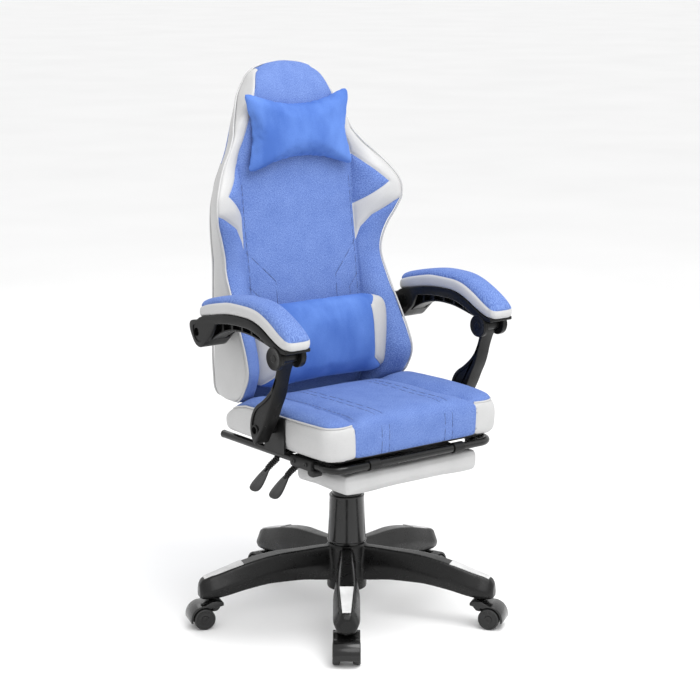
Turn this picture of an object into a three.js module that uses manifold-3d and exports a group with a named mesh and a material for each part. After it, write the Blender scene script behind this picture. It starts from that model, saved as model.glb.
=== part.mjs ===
// Gaming chair with a sliding footrest, linked armrests and a five-star base on twin-wheel castors.
// Millimetres, +Z up. The user faces -Y and the user's right hand is on -X.
// Every piece is modelled around the column axis, then the whole chair is moved
// so that the row's origin is the middle of the floor under its bounding box.
import * as THREE from 'three';
import { mergeVertices } from 'three/addons/utils/BufferGeometryUtils.js';
import Module from 'manifold-3d';

const wasm = await Module();
wasm.setup();

// ---------- driving dimensions ----------
const GAP = 0.3;                    // clearance between pieces that touch
const COLUMN_OFFSET = [-2.717, -24.898]; // column axis from the middle of the bounding box

const BASE_ARMS = 5;
const FIRST_ARM_ANGLE = -127.75;    // degrees from +X
const HUB_RADIUS = 47;
const HUB_BOTTOM = 60;
const HUB_TOP = 171;
const CASTOR_RADIUS = 322;          // column axis to castor stem
const STEM_RADIUS = 5;
const CASTOR_TRAIL = 26;
const WHEEL_RADIUS = 25;
const WHEEL_SIDES = 20;
const WHEEL_CENTRE = WHEEL_RADIUS * Math.cos(Math.PI / WHEEL_SIDES); // rests on a flat facet
const WHEEL_INNER = 13.5;
const WHEEL_OUTER = 31;
const HOOD_TOP = 65.5;
const HOOD_HALF_WIDTH = 30;

const ROD_RADIUS = 14;
const CYLINDER_RADIUS = 25;
const CYLINDER_TOP = 288;
const MECHANISM_BOTTOM = 372;
const PLATE_BOTTOM = 428;
const PLATE_TOP = 439.5;
const PAN_BOTTOM = 440.3;
const PAN_TOP = 446.5;
const RECLINE_PIVOT = [130, 430];   // y, z
const RECLINE_PIN_RADIUS = 6;

const SEAT_BOTTOM = 447;
const ARM_CENTRE = 287;             // arm middle plane from the chair's middle
const ARM_HALF_WIDTH = 33;
const POST_FOOT = [-66, 496];       // y, z of the bolt at the foot of the post
const ARM_FRONT = [-162, 674];      // y, z of the front arm joint
const ARM_REAR = [136, 684];        // y, z of the rear arm joint
const POST_HALF_WIDTH = 18;
const TAB_OUTER = 253;

const TUBE_RADIUS = 9;
const TUBE_HALF_SPAN = 225;
const TUBE_HEIGHT = 428;
const TUBE_FRONT = -249;
const TUBE_REAR = 169;
const TUBE_BEND = 36;
const LEVER_HEIGHT = 421;
const REAR_LEVER_Y = -18;
const FRONT_LEVER_Y = -92;

// ---------- materials ----------
const finish = (color, roughness, metalness = 0) =>
  new THREE.MeshStandardMaterial({ color, roughness, metalness });
const nylon = () => finish('#161616', 0.4);
const coatedSteel = () => finish('#1d1d1f', 0.45, 0.3);
const brightSteel = () => finish('#b8bbc0', 0.3, 1);
const greyPlastic = () => finish('#d9d9d9', 0.5);
const blueFabric = () => finish('#6c8cd5', 0.9);
const velvet = () => finish('#4a78d0', 0.8);
const whiteLeather = () => finish('#e6e6e4', 0.55);

// ---------- geometry helpers ----------
// One closed body: shared vertices merged, empty triangles dropped, faces turned outwards.
function closed(geometry) {
  const bare = geometry.clone();
  bare.deleteAttribute('normal');
  bare.deleteAttribute('uv');
  const merged = mergeVertices(bare, 1e-3);
  const place = merged.attributes.position;
  const corners = [new THREE.Vector3(), new THREE.Vector3(), new THREE.Vector3()];
  const kept = [];
  let volume = 0;
  for (let i = 0; i < merged.index.count; i += 3) {
    const ids = [0, 1, 2].map((k) => merged.index.getX(i + k));
    if (new Set(ids).size < 3) continue;
    kept.push(...ids);
    ids.forEach((id, k) => corners[k].fromBufferAttribute(place, id));
    volume += corners[0].dot(corners[1].clone().cross(corners[2]));
  }
  if (volume < 0) kept.reverse();
  merged.setIndex(kept);
  return merged;
}

function toSolid(geometry) {
  const body = closed(geometry);
  return new wasm.Manifold(new wasm.Mesh({
    numProp: 3,
    vertProperties: Float32Array.from(body.attributes.position.array),
    triVerts: Uint32Array.from(body.index.array),
  }));
}

function toGeometry(solid) {
  const mesh = solid.getMesh();
  const geometry = new THREE.BufferGeometry();
  geometry.setAttribute('position', new THREE.Float32BufferAttribute(mesh.vertProperties, 3));
  geometry.setIndex(Array.from(mesh.triVerts));
  return geometry;
}

const joined = (first, ...others) =>
  toGeometry(others.reduce((sum, other) => sum.add(toSolid(other)), toSolid(first)));
const without = (first, ...holes) =>
  toGeometry(holes.reduce((rest, hole) => rest.subtract(toSolid(hole)), toSolid(first)));

const axis = {
  x: new THREE.Vector3(1, 0, 0),
  y: new THREE.Vector3(0, 1, 0),
  z: new THREE.Vector3(0, 0, 1),
};

function outline(points) {
  return new THREE.Shape(points.map(([a, b]) => new THREE.Vector2(a, b)));
}

// Outline in (y, z), thickness along X.
function prismX(points, from, to) {
  const geometry = new THREE.ExtrudeGeometry(outline(points), { depth: to - from, bevelEnabled: false });
  return geometry.applyMatrix4(new THREE.Matrix4().makeBasis(axis.y, axis.z, axis.x)).translate(from, 0, 0);
}

// Outline in (x, z), thickness along Y.
function prismY(points, from, to) {
  const geometry = new THREE.ExtrudeGeometry(outline(points), { depth: to - from, bevelEnabled: false });
  const turn = new THREE.Matrix4().makeBasis(axis.x, axis.z, axis.y.clone().negate());
  return geometry.applyMatrix4(turn).translate(0, to, 0);
}

function box(x0, x1, y0, y1, z0, z1) {
  return new THREE.BoxGeometry(x1 - x0, y1 - y0, z1 - z0)
    .translate((x0 + x1) / 2, (y0 + y1) / 2, (z0 + z1) / 2);
}

// Profile of (radius, height) pairs turned about Z. It starts and ends on the axis, or closes on itself.
function turned(profile, sides = 24) {
  return new THREE.LatheGeometry(profile.map(([r, z]) => new THREE.Vector2(r, z)), sides).rotateX(Math.PI / 2);
}

function rod(radius, from, to, sides = 16) {
  return turned([[0, from], [radius, from], [radius, to], [0, to]], sides);
}

// A rod along X through (y, z).
function rodX(radius, from, to, [y, z], sides = 16) {
  return rod(radius, from, to, sides).rotateY(Math.PI / 2).translate(0, y, z);
}

function ringSleeve(inner, outerFoot, outerTop, from, to, sides = 24) {
  return turned([[inner, from], [outerFoot, from], [outerTop, to], [inner, to], [inner, from]], sides);
}

// Rings of equal length joined by a skin, closed by a fan over each end.
function loft(rings) {
  const count = rings[0].length;
  const places = rings.flat(2);
  const index = [];
  for (let r = 0; r < rings.length - 1; r++) {
    for (let i = 0; i < count; i++) {
      const a = r * count + i;
      const b = r * count + (i + 1) % count;
      index.push(a, b, b + count, a, b + count, a + count);
    }
  }
  for (const [r, flip] of [[0, true], [rings.length - 1, false]]) {
    const centre = places.length / 3;
    const middle = [0, 1, 2].map((k) => rings[r].reduce((sum, p) => sum + p[k], 0) / count);
    places.push(...middle);
    for (let i = 0; i < count; i++) {
      const a = r * count + i;
      const b = r * count + (i + 1) % count;
      index.push(...(flip ? [centre, b, a] : [centre, a, b]));
    }
  }
  const geometry = new THREE.BufferGeometry();
  geometry.setAttribute('position', new THREE.Float32BufferAttribute(places, 3));
  geometry.setIndex(index);
  return geometry;
}

// Rounded rectangle as a list of (a, b), centred on (0, middle).
function roundedRing(halfWidth, low, high, corner, steps = 2) {
  const ring = [];
  const r = Math.min(corner, halfWidth * 0.95, (high - low) * 0.48);
  const centres = [[halfWidth - r, low + r], [halfWidth - r, high - r], [r - halfWidth, high - r],
    [r - halfWidth, low + r]];
  centres.forEach(([a, b], quarter) => {
    for (let k = 0; k <= steps; k++) {
      const angle = (quarter - 1 + k / steps) * Math.PI / 2;
      ring.push([a + r * Math.cos(angle), b + r * Math.sin(angle)]);
    }
  });
  return ring;
}

function sweptTube(points, radius, sides = 10) {
  const section = [];
  for (let k = 0; k < sides; k++) {
    const angle = 2 * Math.PI * k / sides;
    section.push([radius * Math.cos(angle), radius * Math.sin(angle)]);
  }
  const path = new THREE.CurvePath();
  const corners = points.map((p) => new THREE.Vector3(...p));
  for (let k = 0; k < corners.length - 1; k++) path.add(new THREE.LineCurve3(corners[k], corners[k + 1]));
  // CurvePath spreads its steps by length, so the route is resampled at its own corners.
  const route = new THREE.Curve();
  route.getPoint = (t) => {
    const at = t * (corners.length - 1);
    const k = Math.min(Math.floor(at), corners.length - 2);
    return corners[k].clone().lerp(corners[k + 1], at - k);
  };
  route.getPointAt = route.getPoint;
  return new THREE.ExtrudeGeometry(outline(section), { extrudePath: route, steps: corners.length - 1 });
}

const chair = new THREE.Group();

function add(name, geometry, material, parent = chair) {
  const mesh = new THREE.Mesh(closed(geometry), material);
  mesh.name = name;
  parent.add(mesh);
  return mesh;
}

// ---------- five-star base ----------
// Stations along one arm: radius, top, widest height, bottom, then half widths at the three heights.
const ARM_STATIONS = [
  [25, 164, 125, 85, 12, 18, 15],
  [110, 162, 122, 90, 14, 22, 17],
  [178, 158, 118, 91, 17, 27, 20],
  [245, 145, 108, 83, 18, 31, 22],
  [310, 125.2, 92, 70, 15, 31, 22],
  [347, 114, 84, 68, 12, 25, 19],
  [354, 101, 79, 70, 9, 20, 15],
];

function baseArm(angle) {
  const rings = ARM_STATIONS.map(([r, top, mid, low, wTop, wMid, wLow]) => [
    [r, wLow, low], [r, wMid, mid], [r, wTop, top], [r, -wTop, top], [r, -wMid, mid], [r, -wLow, low],
  ]);
  return loft(rings).rotateZ(angle);
}

const armAngle = (k) => THREE.MathUtils.degToRad(FIRST_ARM_ANGLE + 360 * k / BASE_ARMS);
const SOCKET_TOP = 100;

function starBase() {
  const hub = turned([[0, HUB_BOTTOM], [HUB_RADIUS - 4, HUB_BOTTOM], [HUB_RADIUS, HUB_BOTTOM + 8],
    [HUB_RADIUS, HUB_TOP - 5], [HUB_RADIUS - 3, HUB_TOP], [0, HUB_TOP]]);
  const arms = [];
  const sockets = [];
  for (let k = 0; k < BASE_ARMS; k++) {
    arms.push(baseArm(armAngle(k)));
    sockets.push(rod(STEM_RADIUS + 0.9, 50, SOCKET_TOP, 12)
      .translate(CASTOR_RADIUS * Math.cos(armAngle(k)), CASTOR_RADIUS * Math.sin(armAngle(k)), 0));
  }
  const bore = rod(CYLINDER_RADIUS + 0.5, HUB_BOTTOM - 10, HUB_TOP + 10, 24);
  return without(joined(hub, ...arms), bore, ...sockets);
}

// A pale trapezoid plate let on to the sloping top of the arm, near its end.
const INSERT_START = 250;
const INSERT_END = 341;
const INSERT_THICKNESS = 2;

function armInsert(angle) {
  const [r0, z0, r1, z1] = [245, 145, 347, 114];
  const heightAt = (r) => z0 + (z1 - z0) * (r - r0) / (r1 - r0) + GAP;
  const ring = (r, half) => [
    [r, half, heightAt(r)], [r, half - 1, heightAt(r) + INSERT_THICKNESS],
    [r, 1 - half, heightAt(r) + INSERT_THICKNESS], [r, -half, heightAt(r)],
  ];
  return loft([ring(INSERT_START, 16), ring(INSERT_END, 9.5)]).rotateZ(angle);
}

add('star_base', starBase(), nylon());
for (let k = 0; k < BASE_ARMS; k++) {
  add(`arm_insert_${k + 1}`, armInsert(armAngle(k)), greyPlastic());
}

// ---------- castors ----------
function castorHood() {
  const profile = [[-18, HOOD_TOP], [20, HOOD_TOP], [21, 58]];
  const cover = WHEEL_RADIUS + 7.5;
  for (let degrees = 95; degrees >= -15; degrees -= 22) {
    const angle = THREE.MathUtils.degToRad(degrees);
    profile.push([CASTOR_TRAIL + cover * Math.cos(angle), WHEEL_CENTRE + cover * Math.sin(angle)]);
  }
  profile.push([42, 12], [12, 12], [-18, 32]);
  const body = prismY(profile.reverse(), -HOOD_HALF_WIDTH, HOOD_HALF_WIDTH);
  const clearance = (side) => rod(WHEEL_RADIUS + 2, WHEEL_INNER - 1, 60, 20)
    .rotateX(-side * Math.PI / 2).translate(CASTOR_TRAIL, 0, WHEEL_CENTRE);
  const bore = rod(4.4, -40, 40, 12).rotateX(Math.PI / 2).translate(CASTOR_TRAIL, 0, WHEEL_CENTRE);
  const socket = rod(STEM_RADIUS + 0.4, 36, 80, 12);
  const trims = [-1, 1].map((side) => box(-30, -14, side > 0 ? 20 : -40, side > 0 ? 40 : -20, 0, 80));
  return without(body, clearance(1), clearance(-1), bore, socket, ...trims);
}

function castorStem() {
  return turned([[0, 36.6], [STEM_RADIUS, 36.6], [STEM_RADIUS, HOOD_TOP + GAP], [8, HOOD_TOP + GAP],
    [8, HOOD_TOP + 1.6], [STEM_RADIUS, HOOD_TOP + 1.6], [STEM_RADIUS, SOCKET_TOP - 1], [0, SOCKET_TOP - 1]], 12);
}

// One wheel with the half of the axle that is moulded to it.
function castorWheel(side) {
  const profile = [[0, 0.6], [4, 0.6], [4, WHEEL_INNER], [WHEEL_RADIUS, WHEEL_INNER],
    [WHEEL_RADIUS, WHEEL_OUTER - 2], [WHEEL_RADIUS - 2, WHEEL_OUTER], [17, WHEEL_OUTER],
    [15, WHEEL_OUTER - 1.5], [0, WHEEL_OUTER - 1.5]];
  const facetDown = Math.PI / WHEEL_SIDES;
  return turned(profile, WHEEL_SIDES).rotateZ(facetDown).rotateX(-side * Math.PI / 2);
}

for (let k = 0; k < BASE_ARMS; k++) {
  const castor = new THREE.Group();
  castor.position.set(CASTOR_RADIUS * Math.cos(armAngle(k)), CASTOR_RADIUS * Math.sin(armAngle(k)), 0);
  castor.rotation.z = armAngle(k);
  chair.add(castor);
  add(`castor_hood_${k + 1}`, castorHood(), nylon(), castor);
  add(`castor_stem_${k + 1}`, castorStem(), brightSteel(), castor);
  for (const [letter, side] of [['a', 1], ['b', -1]]) {
    const wheel = add(`castor_wheel_${k + 1}${letter}`, castorWheel(side), nylon(), castor);
    wheel.position.set(CASTOR_TRAIL, 0, WHEEL_CENTRE);
  }
}

// ---------- gas lift and telescopic cover ----------
add('gas_cylinder', turned([[0, HUB_BOTTOM], [CYLINDER_RADIUS, HUB_BOTTOM], [CYLINDER_RADIUS, CYLINDER_TOP],
  [ROD_RADIUS + 2, CYLINDER_TOP], [ROD_RADIUS + 2, 68], [0, 68]]), coatedSteel());
add('gas_rod', rod(ROD_RADIUS, 152, 414), brightSteel());
add('cover_lower', ringSleeve(35, 44, 40, HUB_TOP + GAP, 285), nylon());
add('cover_middle', ringSleeve(30.5, 34, 34, 213, 328), nylon());
add('cover_upper', ringSleeve(26.4, 29.5, 29.5, 292, MECHANISM_BOTTOM - GAP), nylon());

// ---------- tilt mechanism ----------
const LEVER_CHEEK = 4;
const LEVER_SLOT = 5.5;             // half the width between the two cheeks of a lever

function leverCheeks(y) {
  return [-1, 1].map((side) => {
    const near = y + side * LEVER_SLOT;
    const far = y + side * (LEVER_SLOT + LEVER_CHEEK);
    return box(-97, -70, Math.min(near, far), Math.max(near, far), 417.2, PLATE_BOTTOM + 1);
  });
}

function mechanism() {
  const plate = box(-97, 97, -106, 104, PLATE_BOTTOM, PLATE_TOP);
  const socket = rod(38, MECHANISM_BOTTOM, PLATE_BOTTOM + 1);
  const beam = prismX([[0, 392], [60, 392], [112, 414], [118, PLATE_BOTTOM + 1], [0, PLATE_BOTTOM + 1]], -40, 40);
  const ear = [[100, 414], [138, 419], [143, 430], [139, PLATE_TOP], [100, PLATE_TOP]];
  const knuckle = rodX(10.3, -31, 31, RECLINE_PIVOT);
  const pinHole = rodX(RECLINE_PIN_RADIUS + 0.4, -60, 60, RECLINE_PIVOT, 12);
  const body = joined(plate, socket, beam, prismX(ear, -44, -31.5), prismX(ear, 31.5, 44),
    ...leverCheeks(REAR_LEVER_Y), ...leverCheeks(FRONT_LEVER_Y));
  return without(body, rod(ROD_RADIUS + 0.4, 300, 416), knuckle, pinHole);
}

add('tilt_mechanism', mechanism(), coatedSteel());
add('recline_pin', rodX(RECLINE_PIN_RADIUS, -47, 47, RECLINE_PIVOT, 12), brightSteel());

// ---------- seat ----------
function seatPan() {
  const plate = box(-205, 205, -236, 145, PAN_BOTTOM, PAN_TOP);
  const tabs = [-1, 1].map((side) => {
    const tab = prismY([[200, PAN_BOTTOM], [TAB_OUTER, PAN_BOTTOM], [TAB_OUTER, 522], [TAB_OUTER - 4.2, 522],
      [TAB_OUTER - 4.2, PAN_TOP], [200, PAN_TOP]], -104, -30);
    return side > 0 ? tab : tab.rotateZ(Math.PI).translate(0, -134, 0);
  });
  const holes = rodX(5.4, -260, 260, POST_FOOT, 12);
  return without(joined(plate, ...tabs), holes);
}

// Stations from front to back: y, half width, bottom, top, corner.
const SEAT_STATIONS = [
  [-254, 205, 456, 505, 12],
  [-251, 222, 450, 518, 16],
  [-238, 240, SEAT_BOTTOM, 527, 20],
  [-200, 246, SEAT_BOTTOM, 534, 22],
  [-100, 247.5, SEAT_BOTTOM, 536, 22],
  [0, 247.5, SEAT_BOTTOM, 533, 22],
  [60, 247, SEAT_BOTTOM, 527, 22],
  [94, 246, SEAT_BOTTOM, 512, 20],
  [130, 241, SEAT_BOTTOM, 491, 18],
  [147, 230, SEAT_BOTTOM, 476, 12],
  [152, 210, 451, 468, 6],
];

function seatCushion() {
  return loft(SEAT_STATIONS.map(([y, half, low, high, corner]) =>
    roundedRing(half, low, high, corner).map(([x, z]) => [x, y, z])));
}

add('seat_pan', seatPan(), coatedSteel());
add('seat_cushion', seatCushion(), blueFabric());

// ---------- backrest ----------
// Stations from the bottom up: z, half width, y of the wing's front edge, y of the middle panel, y of the back.
const BACK_STATIONS = [
  [505, 205, 132, 150, 194],
  [520, 232, 98, 150, 199],
  [590, 236, 54, 150, 204],
  [680, 231, 92, 153, 209],
  [750, 226, 130, 160, 215],
  [820, 223, 158, 170, 223],
  [880, 238, 156, 179, 231],
  [940, 268, 139, 186, 240],
  [960, 270, 138, 188, 243],
  [1000, 247, 158, 194, 249],
  [1045, 217, 179, 201, 255],
  [1137, 160, 211, 215, 266],
  [1182, 137, 222, 222, 271],
  [1225, 116, 230, 230, 275],
  [1250, 88, 240, 240, 275],
  [1262, 50, 252, 252, 270],
];

function backrest() {
  const rings = BACK_STATIONS.map(([z, half, edge, panel, back]) => {
    const flat = Math.min(150, half * 0.7);
    const right = [
      [flat * 0.5, panel], [flat, panel], [(flat + half) / 2, panel + (edge - panel) * 0.4],
      [half - 10, edge + 1], [half, edge + (back - edge) * 0.12], [half - 3, (edge + back) / 2],
      [half - 14, back - 10], [half - 36, back], [half * 0.45, back + 4],
    ];
    const left = right.map(([x, y]) => [-x, y]).reverse();
    return [[0, panel], ...right, [0, back + 6], ...left].map(([x, y]) => [x, y, z]);
  });
  return loft(rings);
}

function backBracket() {
  const bar = prismX([[130, 421], [198, 413], [212, 418], [218, 438], [215, 510], [231, 720], [223, 720],
    [207, 510], [209, 440], [203, 428], [195, 423], [130, 438.5]], -30, 30);
  const knuckle = rodX(9.3, -30, 30, RECLINE_PIVOT);
  return without(joined(bar, knuckle), rodX(RECLINE_PIN_RADIUS + 0.4, -60, 60, RECLINE_PIVOT, 12));
}

// A cushion with four pointed corners and pulled-in sides, lying in its own XZ plane, front towards -Y.
function cornerPillow(halfWidth, halfHeight, pinch, front, back) {
  const cells = 8;
  const sheet = (swell) => {
    const geometry = new THREE.PlaneGeometry(2, 2, cells, cells);
    const place = geometry.attributes.position;
    for (let i = 0; i < place.count; i++) {
      const [u, v] = [place.getX(i), place.getY(i)];
      const crown = Math.sqrt(Math.max(0, 1 - u * u)) * Math.sqrt(Math.max(0, 1 - v * v));
      place.setXYZ(i, u * (halfWidth - pinch * (1 - v * v)), swell * crown, v * (halfHeight - pinch * (1 - u * u)));
    }
    return geometry;
  };
  const faces = [[sheet(-front), false], [sheet(back), true]];
  const places = [];
  for (const [geometry, flip] of faces) {
    const flat = geometry.toNonIndexed().attributes.position;
    for (let i = 0; i < flat.count; i += 3) {
      const order = flip ? [i + 2, i + 1, i] : [i, i + 1, i + 2];
      for (const k of order) places.push(flat.getX(k), flat.getY(k), flat.getZ(k));
    }
  }
  const geometry = new THREE.BufferGeometry();
  geometry.setAttribute('position', new THREE.Float32BufferAttribute(places, 3));
  return geometry;
}

// A flat-backed bolster: D-shaped section in (y, z), lofted across the chair.
const LUMBAR_BACK = 146;
function lumbarPillow() {
  const section = (scale) => {
    const ring = [];
    const [depth, half] = [84 * scale, 96 * scale];
    for (let k = 0; k <= 10; k++) {
      const angle = Math.PI * (k / 10 + 0.5);
      const swell = Math.pow(Math.abs(Math.cos(angle)), 0.75);
      ring.push([LUMBAR_BACK - 6 - depth * swell, 633 + half * Math.sin(angle)]);
    }
    ring.push([LUMBAR_BACK, 633 - half * 0.6], [LUMBAR_BACK, 633 + half * 0.6]);
    return ring;
  };
  return loft([[-168, 0.72], [-160, 0.88], [-120, 0.97], [0, 1], [120, 0.97], [160, 0.88], [168, 0.72]]
    .map(([x, scale]) => section(scale).map(([y, z]) => [x, x * x > 14400 ? y - 26 : y, z])));
}

add('backrest', backrest(), blueFabric());
add('back_bracket', backBracket(), coatedSteel());
const headPillow = add('head_pillow', cornerPillow(147, 88, 14, 38, 26), velvet());
headPillow.position.set(0, 180, 1112);
headPillow.rotation.x = -THREE.MathUtils.degToRad(9);
add('lumbar_pillow', lumbarPillow(), velvet());

// ---------- armrests ----------
// Stations from front to back: y, half width, bottom, top.
const PAD_STATIONS = [
  [-241, 16, 703, 712],
  [-235, 27, 697, 720],
  [-215, 34, 693, 728],
  [-180, 36, 697, 736],
  [-140, 36, 708, 748],
  [-100, 36, 724, 763],
  [-50, 36, 737, 775],
  [0, 36, 742, 778],
  [50, 36, 739, 773],
  [90, 36, 733, 764],
  [115, 33, 729, 757],
  [127, 26, 729, 751],
  [131, 17, 733, 745],
];

function armPad() {
  return loft(PAD_STATIONS.map(([y, half, low, high]) =>
    roundedRing(half, low, high, 10).map(([x, z]) => [x, y, z])));
}

function circle([y, z], radius, from, to, steps) {
  const points = [];
  for (let k = 0; k <= steps; k++) {
    const angle = THREE.MathUtils.degToRad(from + (to - from) * k / steps);
    points.push([y + radius * Math.cos(angle), z + radius * Math.sin(angle)]);
  }
  return points;
}

const EAR_RADIUS = 26;
const EAR_THICKNESS = 11;

function armFrame() {
  const underPad = PAD_STATIONS.slice(1, 11).map(([y, , low]) => [y, low - 0.5]);
  const side = [...underPad, [133, 709], [156, 709], [162, 700], [162, 692], [150, 671], [128, 654], [113, 652],
    [60, 670], [46, 688], [20, 702], [-15, 707], [-60, 704], [-100, 696], [-134, 690], [-188, 688], [-225, 687]];
  const beam = prismX(side.reverse(), -ARM_HALF_WIDTH, ARM_HALF_WIDTH);
  const ears = [[-ARM_HALF_WIDTH, -ARM_HALF_WIDTH + EAR_THICKNESS],
    [ARM_HALF_WIDTH - EAR_THICKNESS, ARM_HALF_WIDTH]].map(([from, to]) =>
    rodX(EAR_RADIUS, from, to, ARM_FRONT, 24));
  const frontHole = rodX(5.4, -50, 50, ARM_FRONT, 12);
  const rearHole = rodX(9.6, -50, 50, ARM_REAR, 12);
  // Hollow under the arch, between the two side walls.
  const hollow = prismX([[-120, 680], [-120, 709], [-50, 726], [0, 731], [50, 727], [96, 716], [96, 640]].reverse(),
    -ARM_HALF_WIDTH + 7, ARM_HALF_WIDTH - 7);
  return without(joined(beam, ...ears), frontHole, rearHole, hollow);
}

function armPost() {
  const side = [[-68, 462], [-62, 467], [-53, 479], [-48, 498], [-51, 520], [-60, 540], [-73, 554], [-95, 567],
    [-125, 593], [-140, 618], [-149, 644], [-152, 668], [-171, 668], [-158, 646], [-148, 620], [-142, 596],
    [-134, 575], [-121, 552], [-112, 532], [-98, 508], [-82, 485]];
  const blade = prismX(side, -POST_HALF_WIDTH, POST_HALF_WIDTH);
  const barrel = rodX(13, -ARM_HALF_WIDTH + EAR_THICKNESS + GAP, ARM_HALF_WIDTH - EAR_THICKNESS - GAP, ARM_FRONT);
  return without(joined(blade, barrel), rodX(5.4, -50, 50, ARM_FRONT, 12), rodX(5.4, -50, 50, POST_FOOT, 12));
}

// The inner boss of the post reaches the tab of the seat pan.
function postBoss(side) {
  const reach = ARM_CENTRE - POST_HALF_WIDTH - TAB_OUTER - GAP;
  const from = side > 0 ? -POST_HALF_WIDTH - reach : POST_HALF_WIDTH - 1;
  const to = side > 0 ? -POST_HALF_WIDTH + 1 : POST_HALF_WIDTH + reach;
  return without(rodX(14, from, to, POST_FOOT), rodX(5.4, -60, 60, POST_FOOT, 12));
}

for (const [hand, side] of [['left', 1], ['right', -1]]) {
  const arm = new THREE.Group();
  arm.position.x = side * ARM_CENTRE;
  chair.add(arm);
  const outward = (near, far) => [Math.min(side * near, side * far), Math.max(side * near, side * far)];
  add(`arm_pad_${hand}`, armPad(), whiteLeather(), arm);
  add(`arm_frame_${hand}`, armFrame(), nylon(), arm);
  add(`arm_post_${hand}`, joined(armPost(), postBoss(side)), nylon(), arm);
  add(`front_pin_${hand}`, rodX(5, -32, 32, ARM_FRONT, 12), brightSteel(), arm);
  add(`foot_bolt_${hand}`, rodX(5, ...outward(-39, 10), POST_FOOT, 12), brightSteel(), arm);
  const rearPin = joined(rodX(5, ...outward(-40, 26), ARM_REAR, 12),
    rodX(15, ...outward(-54, -ARM_HALF_WIDTH - 1), ARM_REAR));
  add(`rear_pin_${hand}`, rearPin, brightSteel(), arm);
}

// ---------- footrest ----------
function footrestTube() {
  const bend = (side, from, to) => circle([side * (TUBE_HALF_SPAN - TUBE_BEND), TUBE_FRONT + TUBE_BEND],
    TUBE_BEND, from, to, 5).map(([x, y]) => [x, y, TUBE_HEIGHT]);
  return sweptTube([[-TUBE_HALF_SPAN, TUBE_REAR, TUBE_HEIGHT], ...bend(-1, 180, 270), ...bend(1, 270, 360),
    [TUBE_HALF_SPAN, TUBE_REAR, TUBE_HEIGHT]], TUBE_RADIUS, 12);
}

function footrestGuide() {
  const sleeve = box(-16, 16, -180, -106, 414, 440);
  const hook = box(-12, 12, -190, -168, 405, 416);
  const bore = rod(TUBE_RADIUS + 0.7, -300, 300, 12).rotateX(Math.PI / 2).translate(0, 0, TUBE_HEIGHT);
  return without(joined(sleeve, hook), bore);
}

const PAD_FRONT = -241;
const PAD_REAR = -58;

function footrestPad() {
  const stations = [[PAD_FRONT, 170, 380, 404, 8], [PAD_FRONT + 3, 182, 374, 409, 10],
    [PAD_FRONT + 20, 188, 372, 411, 10], [PAD_REAR - 20, 188, 372, 411, 10], [PAD_REAR - 3, 182, 374, 409, 10],
    [PAD_REAR, 170, 380, 404, 8]];
  return loft(stations.map(([y, half, low, high, corner]) =>
    roundedRing(half, low, high, corner).map(([x, z]) => [x, y, z])));
}

function footrestBoard() {
  const board = box(-165, 165, -230, -75, 411.4, 415.4);
  const lugs = [-120, 120].flatMap((x) => [
    rodX(12, x - 14, x + 14, [TUBE_FRONT, TUBE_HEIGHT]),
    prismX([[TUBE_FRONT + 6, 417], [-228, 411.4], [-215, 411.4], [-215, 415.4], [TUBE_FRONT + 11, 425]], x - 14, x + 14),
  ]);
  return without(joined(board, ...lugs), rodX(TUBE_RADIUS + 0.5, -200, 200, [TUBE_FRONT, TUBE_HEIGHT], 16));
}

add('footrest_tube', footrestTube(), coatedSteel());
add('footrest_guide_left', footrestGuide(), nylon()).position.x = TUBE_HALF_SPAN;
add('footrest_guide_right', footrestGuide(), nylon()).position.x = -TUBE_HALF_SPAN;
add('footrest_board', footrestBoard(), coatedSteel());
add('footrest_pad', footrestPad(), whiteLeather());

// ---------- levers ----------
// Rods leave the mechanism on the user's right, dip under the footrest tube and end in a paddle grip.
function leverRod() {
  const shaft = sweptTube([[-78, 0, LEVER_HEIGHT], [-192, 0, LEVER_HEIGHT], [-203, 0, 414], [-212, 0, 404],
    [-224, 0, 398], [-238, -3, 390]], 4, 8);
  const bellows = sweptTube([[-218, 0, 401], [-226, 0, 397], [-238, -3, 390]], 7, 8);
  return joined(shaft, bellows);
}

function leverGrip() {
  // Stations down the grip: x, y, z of the middle, half length along the chair, half thickness.
  const stations = [[-244, -4.5, 385.5, 8, 6.5], [-250, -6, 380.5, 10.5, 8], [-262, -9, 371, 12.5, 9],
    [-280, -14, 357, 13, 9], [-293, -18, 346, 12, 8], [-298, -20, 341, 8, 5]];
  const rings = stations.map(([x, y, z, half, thick]) => roundedRing(half, -thick, thick, 6).map(([a, b]) =>
    [x + b * 0.62, y + a, z + b * 0.78]));
  return loft(rings);
}

for (const [name, y] of [['recline', REAR_LEVER_Y], ['height', FRONT_LEVER_Y]]) {
  const lever = new THREE.Group();
  lever.position.y = y;
  chair.add(lever);
  add(`${name}_lever_rod`, leverRod(), coatedSteel(), lever);
  add(`${name}_lever_grip`, leverGrip(), nylon(), lever);
}

chair.position.set(COLUMN_OFFSET[0], COLUMN_OFFSET[1], 0);

export default chair;
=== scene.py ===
import math

import bmesh
import bpy
import numpy as np
from mathutils import Matrix, Vector
from mathutils.bvhtree import BVHTree
from mathutils.kdtree import KDTree


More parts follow.
